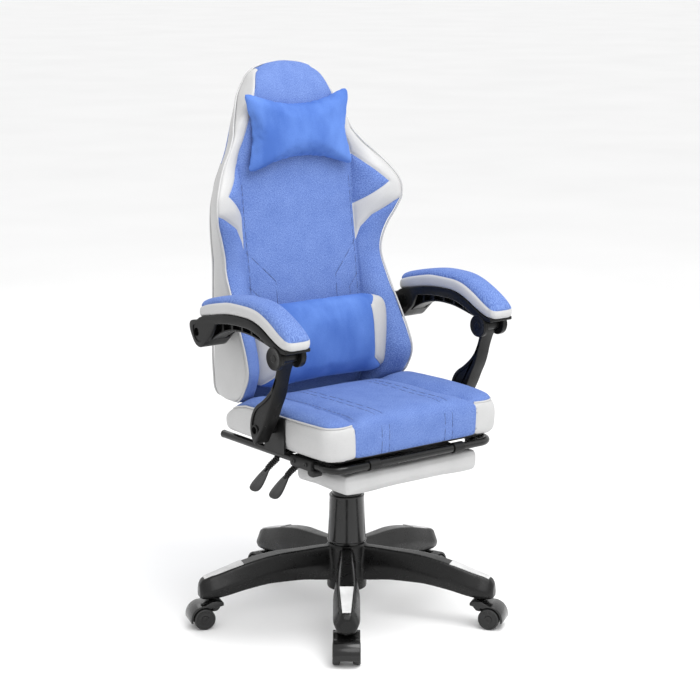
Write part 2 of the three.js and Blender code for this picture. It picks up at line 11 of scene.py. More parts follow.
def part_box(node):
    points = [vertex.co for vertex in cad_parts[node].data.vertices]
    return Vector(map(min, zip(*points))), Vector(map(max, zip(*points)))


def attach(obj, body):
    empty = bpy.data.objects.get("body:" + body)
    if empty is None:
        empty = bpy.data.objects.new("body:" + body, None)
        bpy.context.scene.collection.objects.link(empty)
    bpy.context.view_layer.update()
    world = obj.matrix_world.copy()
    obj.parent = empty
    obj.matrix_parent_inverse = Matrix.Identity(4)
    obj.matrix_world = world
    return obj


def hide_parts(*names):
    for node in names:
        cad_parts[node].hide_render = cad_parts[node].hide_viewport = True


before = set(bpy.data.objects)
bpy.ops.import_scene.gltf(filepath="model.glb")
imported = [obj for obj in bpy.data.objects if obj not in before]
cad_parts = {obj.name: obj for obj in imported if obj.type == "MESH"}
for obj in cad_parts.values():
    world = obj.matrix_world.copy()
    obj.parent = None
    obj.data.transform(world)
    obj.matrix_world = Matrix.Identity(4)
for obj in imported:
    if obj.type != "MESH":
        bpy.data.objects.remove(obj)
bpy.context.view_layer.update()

bl_info = {
    "name": "Reclining swivel chair with footrest",
    "version": (1, 0, 0),
    "blender": (4, 5, 0),
    "location": "View3D > Sidebar > Chair",
    "description": "Dresses the packed chair with upholstery, mouldings, metalwork and a small studio",
    "category": "Object",
}

# ---------------------------------------------------------------- measures
# Sizes are in millimetres from the gas column, with the front of the chair at -Y.
COLUMN = (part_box("cover_lower")[0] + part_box("cover_lower")[1]) / 2
ARM_TURN = math.radians(72)
FIRST_ARM = math.radians(-127.75)
SIDES = (("left", 1), ("right", -1))
# The space between two stitches, as a share of a stitch.
STITCH_GAP = 0.45


def mm(x, y, z):
    """A point given in millimetres from the column, in the frame's metres."""
    return Vector((x / 1000 + COLUMN.x, y / 1000 + COLUMN.y, z / 1000))


def place(points):
    """The same for an array of points."""
    return np.asarray(points, float) / 1000 + np.array([COLUMN.x, COLUMN.y, 0.0])


def centre_of(node):
    low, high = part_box(node)
    return (low + high) / 2


def srgb(code):
    """An sRGB hex colour as linear red, green, blue, alpha."""
    parts = [int(code[i : i + 2], 16) / 255 for i in (1, 3, 5)]
    return [c / 12.92 if c <= 0.04045 else ((c + 0.055) / 1.055) ** 2.4 for c in parts] + [1.0]


def between(table, at):
    """Smooth values of a table whose first column rises, at the places asked for."""
    table = np.asarray(table, float)
    knots, values = table[:, 0], table[:, 1:]
    at = np.clip(np.asarray(at, float), knots[0], knots[-1])
    slope = np.diff(values, axis=0) / np.diff(knots)[:, None]
    step = np.diff(knots)
    tangent = np.zeros_like(values)
    for i in range(1, len(knots) - 1):
        same = slope[i - 1] * slope[i] > 0
        mean = (slope[i - 1] * step[i] + slope[i] * step[i - 1]) / (step[i] + step[i - 1])
        cap = 3 * np.minimum(np.abs(slope[i - 1]), np.abs(slope[i]))
        tangent[i] = np.where(same, np.sign(mean) * np.minimum(np.abs(mean), cap), 0)
    tangent[0], tangent[-1] = slope[0], slope[-1]
    k = np.clip(np.searchsorted(knots, at, side="right") - 1, 0, len(knots) - 2)
    h = step[k][:, None]
    t = ((at - knots[k]) / step[k])[:, None]
    return (
        values[k] * (1 + 2 * t) * (1 - t) ** 2
        + tangent[k] * h * t * (1 - t) ** 2
        + values[k + 1] * t * t * (3 - 2 * t)
        + tangent[k + 1] * h * t * t * (t - 1)
    )


def evenly(path, count, closed=False):
    """A path resampled at even distances."""
    path = np.asarray(path, float)
    if closed:
        path = np.vstack([path, path[:1]])
    run = np.concatenate([[0], np.cumsum(np.linalg.norm(np.diff(path, axis=0), axis=1))])
    at = np.linspace(0, run[-1], count, endpoint=not closed)
    return np.stack([np.interp(at, run, path[:, i]) for i in range(path.shape[1])], 1)


def eased(points, times=2, closed=True):
    """A polygon with its corners cut, so that it runs as a smooth outline."""
    points = np.asarray(points, float)
    for _ in range(times):
        following = np.roll(points, -1, 0)
        cut = np.stack([points * 0.75 + following * 0.25, points * 0.25 + following * 0.75], 1)
        cut = cut.reshape(-1, points.shape[1])
        points = cut if closed else np.vstack([points[:1], cut[1:-3], points[-1:]])
    return points


def section(half_top, half_middle, half_low, top, middle, low, corner, steps=4):
    """A symmetric six-sided section with rounded corners, as x and z."""
    corners = [(half_top, top), (half_middle, middle), (half_low, low)]
    corners += [(-x, z) for x, z in reversed(corners)]
    ring = []
    for i, point in enumerate(corners):
        here = np.array(point, float)
        before = np.array(corners[i - 1], float) - here
        after = np.array(corners[(i + 1) % 6], float) - here
        reach = min(corner, np.linalg.norm(before) * 0.45, np.linalg.norm(after) * 0.45)
        a = here + before / max(np.linalg.norm(before), 1e-9) * reach
        b = here + after / max(np.linalg.norm(after), 1e-9) * reach
        for s in np.linspace(0, 1, steps):
            ring.append(a * (1 - s) ** 2 + here * 2 * s * (1 - s) + b * s * s)
    return np.array(ring)


# ---------------------------------------------------------------- bench tools
def settle():
    if bpy.context.object and bpy.context.object.mode != "OBJECT":
        bpy.ops.object.mode_set(mode="OBJECT")
    bpy.ops.object.select_all(action="DESELECT")


def hold(piece, *others):
    """Selects a piece, and others with it, and makes it the active one."""
    settle()
    for other in (piece, *others):
        other.select_set(True)
    bpy.context.view_layer.objects.active = piece


def edit(piece, everything=True):
    hold(piece)
    bpy.ops.object.mode_set(mode="EDIT")
    bpy.ops.mesh.select_all(action="SELECT" if everything else "DESELECT")


def tidy(piece, gap=1e-6):
    """Welds doubles and turns the faces outwards."""
    edit(piece)
    bpy.ops.mesh.remove_doubles(threshold=gap)
    bpy.ops.mesh.dissolve_degenerate(threshold=gap)
    bpy.ops.mesh.select_all(action="SELECT")
    bpy.ops.mesh.normals_make_consistent(inside=False)
    bpy.ops.object.mode_set(mode="OBJECT")


def modify(piece, kind, **settings):
    """Adds a modifier, sets it and applies it."""
    hold(piece)
    modifier = piece.modifiers.new(kind.title(), kind)
    for key, value in settings.items():
        setattr(modifier, key, value)
    bpy.ops.object.modifier_apply(modifier=modifier.name)
    return piece


def smooth(piece, angle=35):
    hold(piece)
    if angle >= 180:
        bpy.ops.object.shade_smooth()
    else:
        bpy.ops.object.shade_smooth_by_angle(angle=math.radians(angle))
    return piece


def join(piece, *others):
    hold(piece, *others)
    bpy.ops.object.join()
    return piece


def copy(piece, name, matrix=None):
    """A copy with its own mesh, moved by a matrix."""
    made = piece.copy()
    made.data = piece.data.copy()
    made.name = name
    bpy.context.scene.collection.objects.link(made)
    if matrix is not None:
        made.data.transform(matrix)
        if matrix.determinant() < 0:
            made.data.flip_normals()
    return made


def turned(angle):
    """A turn about the gas column."""
    here = Matrix.Translation((COLUMN.x, COLUMN.y, 0))
    return here @ Matrix.Rotation(angle, 4, "Z") @ here.inverted()


def across():
    """A mirror through the middle plane of the chair."""
    here = Matrix.Translation((COLUMN.x, 0, 0))
    return here @ Matrix.Diagonal((-1, 1, 1, 1)) @ here.inverted()


def write_chart(mesh, chart):
    """Writes each point's place on the cloth, in millimetres, as the Cloth UV in metres."""
    index = np.zeros(len(mesh.loops), np.int32)
    mesh.loops.foreach_get("vertex_index", index)
    cloth = mesh.uv_layers.active or mesh.uv_layers.new(name="Cloth")
    cloth.name = "Cloth"
    cloth.data.foreach_set("uv", (chart[index] / 1000).astype(np.float32).ravel())


def skin(name, rows, around=True, chart=None):
    """A surface through rows of points: a grid primitive whose points are moved, welded where rows close."""
    rows = np.asarray(rows, float)
    if around:
        rows = np.concatenate([rows, rows[:, :1]], 1)
    count_v, count_u = rows.shape[:2]
    settle()
    bpy.ops.mesh.primitive_grid_add(x_subdivisions=count_u - 1, y_subdivisions=count_v - 1, size=1)
    piece = bpy.context.object
    piece.name = name
    mesh = piece.data
    mesh.name = name
    mesh.vertices.foreach_set("co", place(rows).astype(np.float32).ravel())
    if chart is None:
        across_u = np.linalg.norm(np.diff(rows, axis=1), axis=2).max(0)
        along_v = np.linalg.norm(np.diff(rows, axis=0), axis=2).max(1)
        u = np.concatenate([[0], np.cumsum(across_u)])
        v = np.concatenate([[0], np.cumsum(along_v)])
        chart = np.stack(np.meshgrid(u, v), 2)
    elif around:
        chart = np.concatenate([chart, chart[:, :1]], 1)
    write_chart(mesh, chart.reshape(-1, 2))
    mesh.update()
    tidy(piece)
    return piece


def capped(rows, steps=(0.97, 0.88, 0.6, 0.0)):
    """Rows with each end closed by rows that shrink to its middle."""
    rows = [np.asarray(r, float) for r in rows]
    first, last = rows[0], rows[-1]
    start = [first.mean(0) + (first - first.mean(0)) * s for s in reversed(steps)]
    end = [last.mean(0) + (last - last.mean(0)) * s for s in steps]
    return start + rows + end


def slab(name, outline, near, far, bevel=2.0, segments=3, plane="yz"):
    """An outline in a plane, filled, extruded from near to far and rounded over."""
    outline = np.asarray(outline, float)
    settle()
    bpy.ops.mesh.primitive_circle_add(vertices=len(outline), fill_type="NGON", radius=1)
    piece = bpy.context.object
    piece.name = name
    piece.data.name = name
    order = {"yz": (1, 2, 0), "xz": (0, 2, 1), "xy": (0, 1, 2)}[plane]
    flat = np.zeros((len(outline), 3))
    flat[:, order[0]] = outline[:, 0]
    flat[:, order[1]] = outline[:, 1]
    flat[:, order[2]] = near
    piece.data.vertices.foreach_set("co", place(flat).astype(np.float32).ravel())
    move = [0.0, 0.0, 0.0]
    move[order[2]] = (far - near) / 1000
    edit(piece)
    bpy.ops.mesh.extrude_region_move(TRANSFORM_OT_translate={"value": move})
    bpy.ops.mesh.select_all(action="SELECT")
    bpy.ops.mesh.normals_make_consistent(inside=False)
    bpy.ops.object.mode_set(mode="OBJECT")
    shell = bmesh.new()
    shell.from_mesh(piece.data)
    if shell.calc_volume(signed=True) < 0:
        piece.data.flip_normals()
    shell.free()
    if bevel:
        modify(piece, "BEVEL", width=bevel / 1000, segments=segments, limit_method="ANGLE",
               angle_limit=math.radians(38), use_clamp_overlap=True)
    return piece


def turned_part(name, profile, centre, axis, steps=64, closed=False):
    """A lathe profile, distance along the axis and radius in millimetres, spun about a line."""
    axis = Vector(axis).normalized()
    side = axis.orthogonal().normalized()
    settle()
    bpy.ops.mesh.primitive_circle_add(vertices=len(profile), fill_type="NOTHING", radius=1)
    piece = bpy.context.object
    piece.name = name
    piece.data.name = name
    for vertex, (along, radius) in zip(piece.data.vertices, profile):
        vertex.co = Vector(centre) + axis * (along / 1000) + side * (radius / 1000)
    if not closed:
        edit(piece, everything=False)
        mesh = bmesh.from_edit_mesh(piece.data)
        mesh.verts.ensure_lookup_table()
        last = mesh.edges.get((mesh.verts[0], mesh.verts[len(profile) - 1]))
        mesh.edges.remove(last)
        bmesh.update_edit_mesh(piece.data)
    edit(piece)
    bpy.ops.mesh.spin(steps=steps, angle=math.tau, center=centre, axis=axis)
    bpy.ops.object.mode_set(mode="OBJECT")
    tidy(piece, 2e-6)
    return piece


def tube(name, path, radius, closed=False, around=4):
    """A round bar along points in metres, made from a bevelled curve."""
    data = bpy.data.curves.new(name, "CURVE")
    data.dimensions = "3D"
    data.bevel_depth = radius / 1000
    data.bevel_resolution = around
    data.use_fill_caps = not closed
    line = data.splines.new("POLY")
    line.points.add(len(path) - 1)
    for point, spot in zip(line.points, path):
        point.co = (*spot, 1)
    line.use_cyclic_u = closed
    piece = bpy.data.objects.new(name, data)
    bpy.context.scene.collection.objects.link(piece)
    hold(piece)
    bpy.ops.object.convert(target="MESH")
    tidy(piece, 1e-7)
    return smooth(piece, 60)


def cut(piece, other):
    """Takes one closed piece out of another and clears it away."""
    modify(piece, "BOOLEAN", operation="DIFFERENCE", object=other, solver="MANIFOLD")
    bpy.data.objects.remove(other)
    return piece


def weld(piece, *others):
    for other in others:
        modify(piece, "BOOLEAN", operation="UNION", object=other, solver="MANIFOLD")
        bpy.data.objects.remove(other)
    return piece


def finish(piece, body, slot, *nodes, material=None):
    """Gives a piece its finish, its body and the nodes that it stands for."""
    if not piece.data.polygons:
        raise RuntimeError(f"{piece.name} came out empty")
    if material is not None:
        piece.data.materials.clear()
        piece.data.materials.append(material)
    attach(piece, body)
    if nodes:
        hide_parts(*nodes)
    return piece


# ---------------------------------------------------------------- sewing tools
def seam_cut(piece, path, flat, reach, keep=None):
    """Splits the faces of a skin along straight runs drawn on one plane, so that a seam lies on edges."""
    axes = {"xz": (0, 2), "yz": (1, 2), "xy": (0, 1)}[flat]
    normal_axis = 3 - sum(axes)
    for a, b in zip(path[:-1], path[1:]):
        a, b = np.array(a, float), np.array(b, float)
        run = (b - a) / np.linalg.norm(b - a)
        length = np.linalg.norm(b - a)
        edit(piece, everything=False)
        bpy.ops.mesh.select_mode(type="FACE")
        mesh = bmesh.from_edit_mesh(piece.data)
        start = place([0.0, 0.0, 0.0])
        for face in mesh.faces:
            spot = (np.array(face.calc_center_median()) - start) * 1000
            p = spot[list(axes)] - a
            along = p @ run
            off = abs(p[0] * run[1] - p[1] * run[0])
            face.select = bool(-reach < along < length + reach and off < 12 and (keep is None or keep(spot)))
        bmesh.update_edit_mesh(piece.data)
        point = [0.0, 0.0, 0.0]
        point[axes[0]], point[axes[1]] = a
        normal = [0.0, 0.0, 0.0]
        normal[axes[0]], normal[axes[1]] = run[1], -run[0]
        point = Vector(place(point))
        point[normal_axis] = 0
        bpy.ops.mesh.bisect(plane_co=point, plane_no=normal, use_fill=False)
        bpy.ops.object.mode_set(mode="OBJECT")
    hold(piece)


def inside(points, polygon):
    """Which points, as an array of pairs, lie in a polygon."""
    polygon = np.asarray(polygon, float)
    found = np.zeros(len(points), bool)
    for a, b in zip(polygon, np.roll(polygon, -1, 0)):
        crosses = (a[1] > points[:, 1]) != (b[1] > points[:, 1])
        if abs(b[1] - a[1]) > 1e-9:
            at = a[0] + (points[:, 1] - a[1]) / (b[1] - a[1]) * (b[0] - a[0])
            found ^= crosses & (points[:, 0] < at)
    return found


def seam_distance(points, seams):
    """The distance in millimetres from each point to the nearest seam."""
    lengths = [np.linalg.norm(np.diff(seam, axis=0), axis=1).sum() for seam in seams]
    dots = np.vstack([evenly(seam, max(2, int(length / 1.5))) for seam, length in zip(seams, lengths)])
    tree = KDTree(len(dots))
    for i, dot in enumerate(dots):
        tree.insert(dot, i)
    tree.balance()
    return np.array([tree.find(p)[2] for p in points])


def mesh_points(piece):
    """A piece's points, in millimetres from the column, and its normals."""
    count = len(piece.data.vertices)
    co = np.zeros(count * 3, np.float32)
    piece.data.vertices.foreach_get("co", co)
    normal = np.array([v.normal for v in piece.data.vertices])
    return (co.reshape(-1, 3) - place([0.0, 0.0, 0.0])) * 1000, normal


def push(piece, points):
    piece.data.vertices.foreach_set("co", place(points).astype(np.float32).ravel())
    piece.data.update()


def quilt(piece, seams, height, spread, groove=1.6, width=3.0):
    """Puffs a sewn skin between its seams: full at the middle of a panel, drawn in where it is stitched."""
    points, normal = mesh_points(piece)
    gap = seam_distance(points, seams)
    rise = height * (1 - np.exp(-gap / spread)) - groove * np.exp(-((gap / width) ** 2))
    push(piece, points + normal * rise[:, None])


def over(piece):
    """A search tree of a piece, for laying thread and piping on it."""
    mesh = bmesh.new()
    mesh.from_mesh(piece.data)
    tree = BVHTree.FromBMesh(mesh)
    mesh.free()
    return tree


def lay(tree, path, towards, lift=0.3, step=3.0):
    """Points of a path in millimetres, dropped on a surface and lifted off it, in metres, with their normals."""
    path = np.asarray(path, float)
    length = np.linalg.norm(np.diff(path, axis=0), axis=1).sum()
    direction = Vector(towards).normalized()
    laid = []
    for point in place(evenly(path, max(2, int(length / step)))):
        start = Vector(point) - direction * 0.2
        spot, normal, _, _ = tree.ray_cast(start, direction, 1.5)
        if spot is not None:
            laid.append((spot + normal * (lift / 1000), normal))
    return laid


def laid_seam(tree, path, towards):
    """A seam's points in millimetres, where a path drops onto a surface."""
    spots = np.array([spot for spot, _ in lay(tree, path, towards, 0)]).reshape(-1, 3)
    return (spots - place([0.0, 0.0, 0.0])) * 1000


def piped(name, cords, body):
    """Joins lengths of piping into one piece."""
    piping = join(cords[0], *cords[1:])
    piping.name = name
    finish(piping, body, "white_leatherette", material=MATERIALS["piping"])


def sewn(name, runs, sizes, body, slot, thread):
    """Sews a line of stitches along each run of surface points."""
    made = stitches(name, runs, sizes.stitch, sizes.stitch * STITCH_GAP, sizes.thread)
    finish(made, body, slot, material=MATERIALS[thread])


def stitches(name, runs, length, gap, width):
    """Thread laid as short slanted stitches along runs of surface points, each a six-sided bead."""
    corners, faces = [], []
    for run in runs:
        spots = np.array([s for s, _ in run])
        normals = np.array([n for _, n in run])
        total = np.linalg.norm(np.diff(spots, axis=0), axis=1).sum()
        count = max(1, int(total * 1000 / (length + gap)))
        dense = evenly(np.hstack([spots, normals]), count * 4 + 1)
        for i in range(count):
            a, b = dense[i * 4], dense[i * 4 + 3]
            start, end = Vector(a[:3]), Vector(b[:3])
            up = Vector(a[3:]).normalized()
            along = (end - start).normalized()
            side = along.cross(up).normalized()
            base = len(corners)
            for t, size in ((0, 0.45), (0.2, 1), (0.8, 1), (1, 0.45)):
                spot = start.lerp(end, t) + side * (width / 2000) * (t - 0.5)
                for turn in range(6):
                    angle = turn * math.tau / 6
                    out = side * math.cos(angle) + up * math.sin(angle) * 0.8
                    corners.append(spot + out * (width / 2000 * size))
            for ring in range(3):
                for turn in range(6):
                    a0, b0 = base + ring * 6 + turn, base + ring * 6 + (turn + 1) % 6
                    faces.append((a0, b0, b0 + 6, a0 + 6))
            faces.append(tuple(base + t for t in range(5, -1, -1)))
            faces.append(tuple(base + 18 + t for t in range(6)))
    mesh = bpy.data.meshes.new(name)
    mesh.from_pydata(corners, [], faces)
    piece = bpy.data.objects.new(name, mesh)
    bpy.context.scene.collection.objects.link(piece)
    tidy(piece, 1e-8)
    return smooth(piece, 180)


def uneven(points, size, amount, seed=0.0):
    """Small unevenness of stuffed cloth: a smooth wave field in millimetres."""
    p = np.asarray(points, float) / size + seed
    wave = np.sin(p[:, 0] * 2.1 + np.sin(p[:, 2] * 1.7))
    wave += np.sin(p[:, 2] * 2.6 + np.sin(p[:, 1] * 2.3 + 1.3))
    return amount * 0.5 * (wave + np.sin(p[:, 1] * 1.9 + p[:, 0] * 1.1 + 0.7))


def chart_cloth(piece, chart):
    """Lays the cloth on a piece by a function of its points."""
    points, _ = mesh_points(piece)
    write_chart(piece.data, chart(points))


def zone(piece, pick):
    """Sets each face's finish from its middle point and normal, in millimetres."""
    middles = np.array([p.center for p in piece.data.polygons]) - place([0.0, 0.0, 0.0])
    normals = np.array([p.normal for p in piece.data.polygons])
    piece.data.polygons.foreach_set("material_index", pick(middles * 1000, normals).astype(np.int32))
    piece.data.update()


def dress(piece, *materials):
    for made in materials:
        piece.data.materials.append(made)


def inflate(piece, voxel, cap, pressure=4.0, frames=20, bending=0.5):
    """Stuffs a closed shell: an even remesh, cloth under pressure, and a cap on how far a point may move."""
    modify(piece, "REMESH", mode="VOXEL", voxel_size=voxel / 1000)
    before, _ = mesh_points(piece)
    hold(piece)
    cloth = piece.modifiers.new("Cloth", "CLOTH")
    cloth.settings.use_pressure = True
    cloth.settings.uniform_pressure_force = pressure
    cloth.settings.quality = 4
    cloth.settings.mass = 0.3
    cloth.settings.tension_stiffness = 30
    cloth.settings.compression_stiffness = 30
    cloth.settings.shear_stiffness = 10
    cloth.settings.bending_stiffness = bending
    cloth.settings.effector_weights.gravity = 0
    cloth.collision_settings.use_collision = False
    scene = bpy.context.scene
    cloth.point_cache.frame_start = 1
    cloth.point_cache.frame_end = frames
    for count in range(1, frames + 1):
        scene.frame_set(count)
    hold(piece)
    bpy.ops.object.modifier_apply(modifier=cloth.name)
    scene.frame_set(1)
    after, _ = mesh_points(piece)
    move = after - before
    far = np.linalg.norm(move, axis=1)
    move *= np.minimum(1, cap / np.maximum(far, 1e-6))[:, None]
    push(piece, before + move)
    return before


# ---------------------------------------------------------------- materials
def node(tree, kind, settings=None, inputs=None):
    """Adds a node with its settings, its values and its links."""
    made = tree.nodes.new("ShaderNode" + kind)
    for key, value in (settings or {}).items():
        setattr(made, key, value)
    for key, value in (inputs or {}).items():
        if isinstance(value, bpy.types.NodeSocket):
            tree.links.new(value, made.inputs[key])
        else:
            made.inputs[key].default_value = value
    return made


def blank(name):
    made = bpy.data.materials.new(name)
    made.use_nodes = True
    made.node_tree.nodes.clear()
    return made, made.node_tree


def surface(made, colour, roughness, height=None, depth=0.0, strength=1.0, **constants):
    """Ends a material: shader, relief in millimetres and output."""
    tree = made.node_tree
    inputs = {"Base Color": colour, "Roughness": roughness}
    if height is not None:
        bump = node(tree, "Bump", None, {"Height": height, "Distance": depth / 1000, "Strength": strength})
        inputs["Normal"] = bump.outputs["Normal"]
    for key, value in constants.items():
        inputs[key.replace("_", " ")] = value
    shader = node(tree, "BsdfPrincipled", None, inputs)
    node(tree, "OutputMaterial", None, {"Surface": shader.outputs["BSDF"]})
    return made


def speckle(tree, vector, pitch, detail=2.0, rough=0.5):
    """Noise whose grains are about so many millimetres."""
    inputs = {"Vector": vector, "Scale": 1000 / pitch, "Detail": detail, "Roughness": rough}
    found = node(tree, "TexNoise", None, inputs)
    return found.outputs["Fac"]


def ramp(tree, factor, *stops):
    made = node(tree, "ValToRGB", None, {"Fac": factor})
    band = made.color_ramp
    while len(band.elements) < len(stops):
        band.elements.new(0.5)
    for element, (at, colour) in zip(band.elements, stops):
        element.position = at
        element.color = colour
    return made.outputs["Color"]


def maths(tree, operation, a, b=None):
    inputs = {0: a} if b is None else {0: a, 1: b}
    return node(tree, "Math", {"operation": operation}, inputs).outputs[0]


def grey(value):
    return (value, value, value, 1.0)


def shade(colour, factor):
    return [c * factor for c in colour[:3]] + [1.0]


def woven_melange(name, light, dark, pitch):
    """Plain-woven polyester of two dyed yarns. The eye sees soft flecks along both threads and a dull, slightly
    hazy surface. The real threads are about 0.8 mm apart, and they are drawn coarser so that they show."""
    made, tree = blank(name)
    cloth = node(tree, "UVMap", {"uv_map": "Cloth"}).outputs["UV"]
    split = node(tree, "SeparateXYZ", None, {0: cloth})
    warp = maths(tree, "MULTIPLY", split.outputs["X"], 1000 / pitch)
    weft = maths(tree, "MULTIPLY", split.outputs["Y"], 1000 / pitch)
    over_under = node(tree, "TexChecker", None, {"Vector": cloth, "Scale": 1000 / pitch}).outputs["Fac"]
    streaks = []
    for stretch in ((1, 0.4, 1), (0.4, 1, 1)):
        thread = node(tree, "Mapping", None, {"Vector": cloth, "Scale": stretch}).outputs["Vector"]
        streaks.append(speckle(tree, thread, pitch * 0.8, 1.0))
    fleck = node(tree, "Mix", None, {"Factor": over_under, 2: streaks[0], 3: streaks[1]}).outputs[0]
    cloud = speckle(tree, cloth, 45, 3.0)
    mixed = maths(tree, "ADD", maths(tree, "MULTIPLY", fleck, 0.86), maths(tree, "MULTIPLY", cloud, 0.14))
    stops = ((0.3, shade(dark, 0.82)), (0.43, dark), (0.57, light), (0.72, shade(light, 1.2)))
    colour = ramp(tree, mixed, *stops)
    ridge_warp = maths(tree, "ABSOLUTE", maths(tree, "SINE", maths(tree, "MULTIPLY", warp, math.pi)))
    ridge_weft = maths(tree, "ABSOLUTE", maths(tree, "SINE", maths(tree, "MULTIPLY", weft, math.pi)))
    ridge = node(tree, "Mix", None, {"Factor": over_under, 2: ridge_warp, 3: ridge_weft}).outputs[0]
    relief = maths(tree, "ADD", ridge, maths(tree, "MULTIPLY", fleck, 0.6))
    return surface(made, colour, 0.88, relief, 0.2, 0.4, Sheen_Weight=0.12, Sheen_Roughness=0.5,
                   Sheen_Tint=shade(light, 1.2), Specular_IOR_Level=0.25)


def brushed_velour(name, light, dark):
    """Short-pile polyester velour. The pile lies in soft patches, and its colour drifts between them as painted
    light and shade, from pile that faces the light to pile that turns away; its edge lights up.
    """
    made, tree = blank(name)
    spot = node(tree, "TexCoord").outputs["Object"]
    combed = node(tree, "Mapping", None, {"Vector": spot, "Scale": (1, 1, 0.45)}).outputs["Vector"]
    # Painted light and shade: broad patches where the pile is drawn lighter, as if facing the light, or darker, as
    # if turned away.
    pile_light_and_shade = speckle(tree, combed, 70, 3.0)
    pile = speckle(tree, spot, 1.6, 2.0)
    mixed = maths(tree, "ADD", maths(tree, "MULTIPLY", pile_light_and_shade, 0.75), maths(tree, "MULTIPLY", pile, 0.25))
    colour = ramp(tree, mixed, (0.34, dark), (0.66, light))
    return surface(made, colour, 0.72, pile, 0.25, 0.5, Sheen_Weight=0.7, Sheen_Roughness=0.35,
                   Sheen_Tint=shade(light, 1.5), Specular_IOR_Level=0.2)


def embossed_leatherette(name, colour, grain=1.5):
    """PVC leatherette with an embossed pebble grain, drawn a little coarser than its real 0.8 mm. It is wiped
    smooth on the high spots, so it has a soft, broad shine."""
    made, tree = blank(name)
    spot = node(tree, "TexCoord").outputs["Object"]
    drift = node(tree, "TexNoise", None, {"Vector": spot, "Scale": 300, "Detail": 1.0}).outputs["Color"]
    bent = node(tree, "Mix", {"data_type": "VECTOR"}, {"Factor": 0.002, 4: spot, 5: drift}).outputs[1]
    cells = node(tree, "TexVoronoi", {"feature": "SMOOTH_F1"},
                 {"Vector": bent, "Scale": 1000 / grain, "Smoothness": 0.4}).outputs["Distance"]
    soil = speckle(tree, spot, 60, 3.0)
    tint = ramp(tree, soil, (0.35, shade(colour, 0.955)), (0.65, colour))
    # Painted shade: the hollows of the grain are darkened in the colour.
    shaded_grain_tint = node(tree, "Mix", {"data_type": "RGBA", "blend_type": "MULTIPLY"},
                   {"Factor": 0.25, 6: tint, 7: ramp(tree, cells, (0.35, grey(1)), (0.95, grey(0.72)))}).outputs[2]
    dull = ramp(tree, cells, (0.2, grey(0.40)), (0.9, grey(0.6)))
    relief = maths(tree, "ADD", maths(tree, "MULTIPLY", cells, -1.0), maths(tree, "MULTIPLY", soil, 1.5))
    return surface(made, shaded_grain_tint, dull, relief, 0.3, 0.4, Coat_Weight=0.06, Coat_Roughness=0.35)


def extruded_vinyl(name, colour):
    """Piping of vinyl drawn over a cord: smooth, with faint bands across it where it was pulled tight."""
    made, tree = blank(name)
    spot = node(tree, "TexCoord").outputs["Object"]
    band = speckle(tree, spot, 9, 1.0)
    tint = ramp(tree, band, (0.3, shade(colour, 0.93)), (0.7, colour))
    return surface(made, tint, 0.38, band, 0.3, 0.4, Coat_Weight=0.1, Coat_Roughness=0.25)


def twisted_thread(name, colour):
    """Bonded polyester thread with a slight lustre along its twist."""
    made, tree = blank(name)
    spot = node(tree, "TexCoord").outputs["Object"]
    twist = speckle(tree, spot, 0.7, 1.0)
    tint = ramp(tree, twist, (0.3, shade(colour, 0.7)), (0.7, shade(colour, 1.15)))
    return surface(made, tint, 0.5, twist, 0.15, 0.5, Sheen_Weight=0.2)


def moulded_nylon(name, colour, gloss, spark=0.9, relief=0.12, coat=0.0, shine=0.5):
    """Glass-filled nylon, injection moulded. Spark-eroded tools leave a fine pebble, with faint flow marks and
    scuffs that break up its shine."""
    made, tree = blank(name)
    spot = node(tree, "TexCoord").outputs["Object"]
    pebble = speckle(tree, spot, spark, 2.0)
    drawn = node(tree, "Mapping", None, {"Vector": spot, "Scale": (1, 1, 0.3)}).outputs["Vector"]
    flow = speckle(tree, drawn, 38, 3.0)
    worn = {"Vector": spot, "Scale": 55, "Detail": 6.0, "Roughness": 0.7}
    scuff = node(tree, "TexNoise", None, worn).outputs["Fac"]
    tint = ramp(tree, flow, (0.3, shade(colour, 0.85)), (0.7, shade(colour, 1.15)))
    worn = ramp(tree, scuff, (0.35, grey(gloss)), (0.72, grey(min(1.0, gloss + 0.16))))
    height = maths(tree, "ADD", pebble, maths(tree, "MULTIPLY", flow, 0.8))
    return surface(made, tint, worn, height, relief, 0.5, Coat_Weight=coat, Coat_Roughness=0.12, IOR=1.53,
                   Specular_IOR_Level=shine)


def powder_coat(name, colour, gloss, coat):
    """Polyester powder baked on steel: a continuous film with a slight orange peel and a clear highlight."""
    made, tree = blank(name)
    spot = node(tree, "TexCoord").outputs["Object"]
    peel = speckle(tree, spot, 2.6, 1.0)
    dust = speckle(tree, spot, 30, 4.0)
    tint = ramp(tree, dust, (0.3, shade(colour, 0.85)), (0.7, shade(colour, 1.2)))
    sheen = ramp(tree, dust, (0.35, grey(gloss)), (0.7, grey(gloss + 0.12)))
    return surface(made, tint, sheen, peel, 0.12, 0.35, Coat_Weight=coat, Coat_Roughness=0.1, IOR=1.5,
                   Specular_IOR_Level=0.3)


def turned_steel(name, colour):
    """Bright steel turned on a lathe and lightly oiled: fine rings that drag the highlight out."""
    made, tree = blank(name)
    spot = node(tree, "TexCoord").outputs["Object"]
    rings = node(tree, "Mapping", None, {"Vector": spot, "Scale": (0.08, 0.08, 1)}).outputs["Vector"]
    groove = speckle(tree, rings, 0.9, 2.0)
    stain = speckle(tree, spot, 12, 4.0)
    tint = ramp(tree, stain, (0.3, shade(colour, 0.8)), (0.7, colour))
    dull = ramp(tree, groove, (0.3, grey(0.2)), (0.7, grey(0.36)))
    return surface(made, tint, dull, groove, 0.03, 0.4, Metallic=1.0, Anisotropic=0.4)


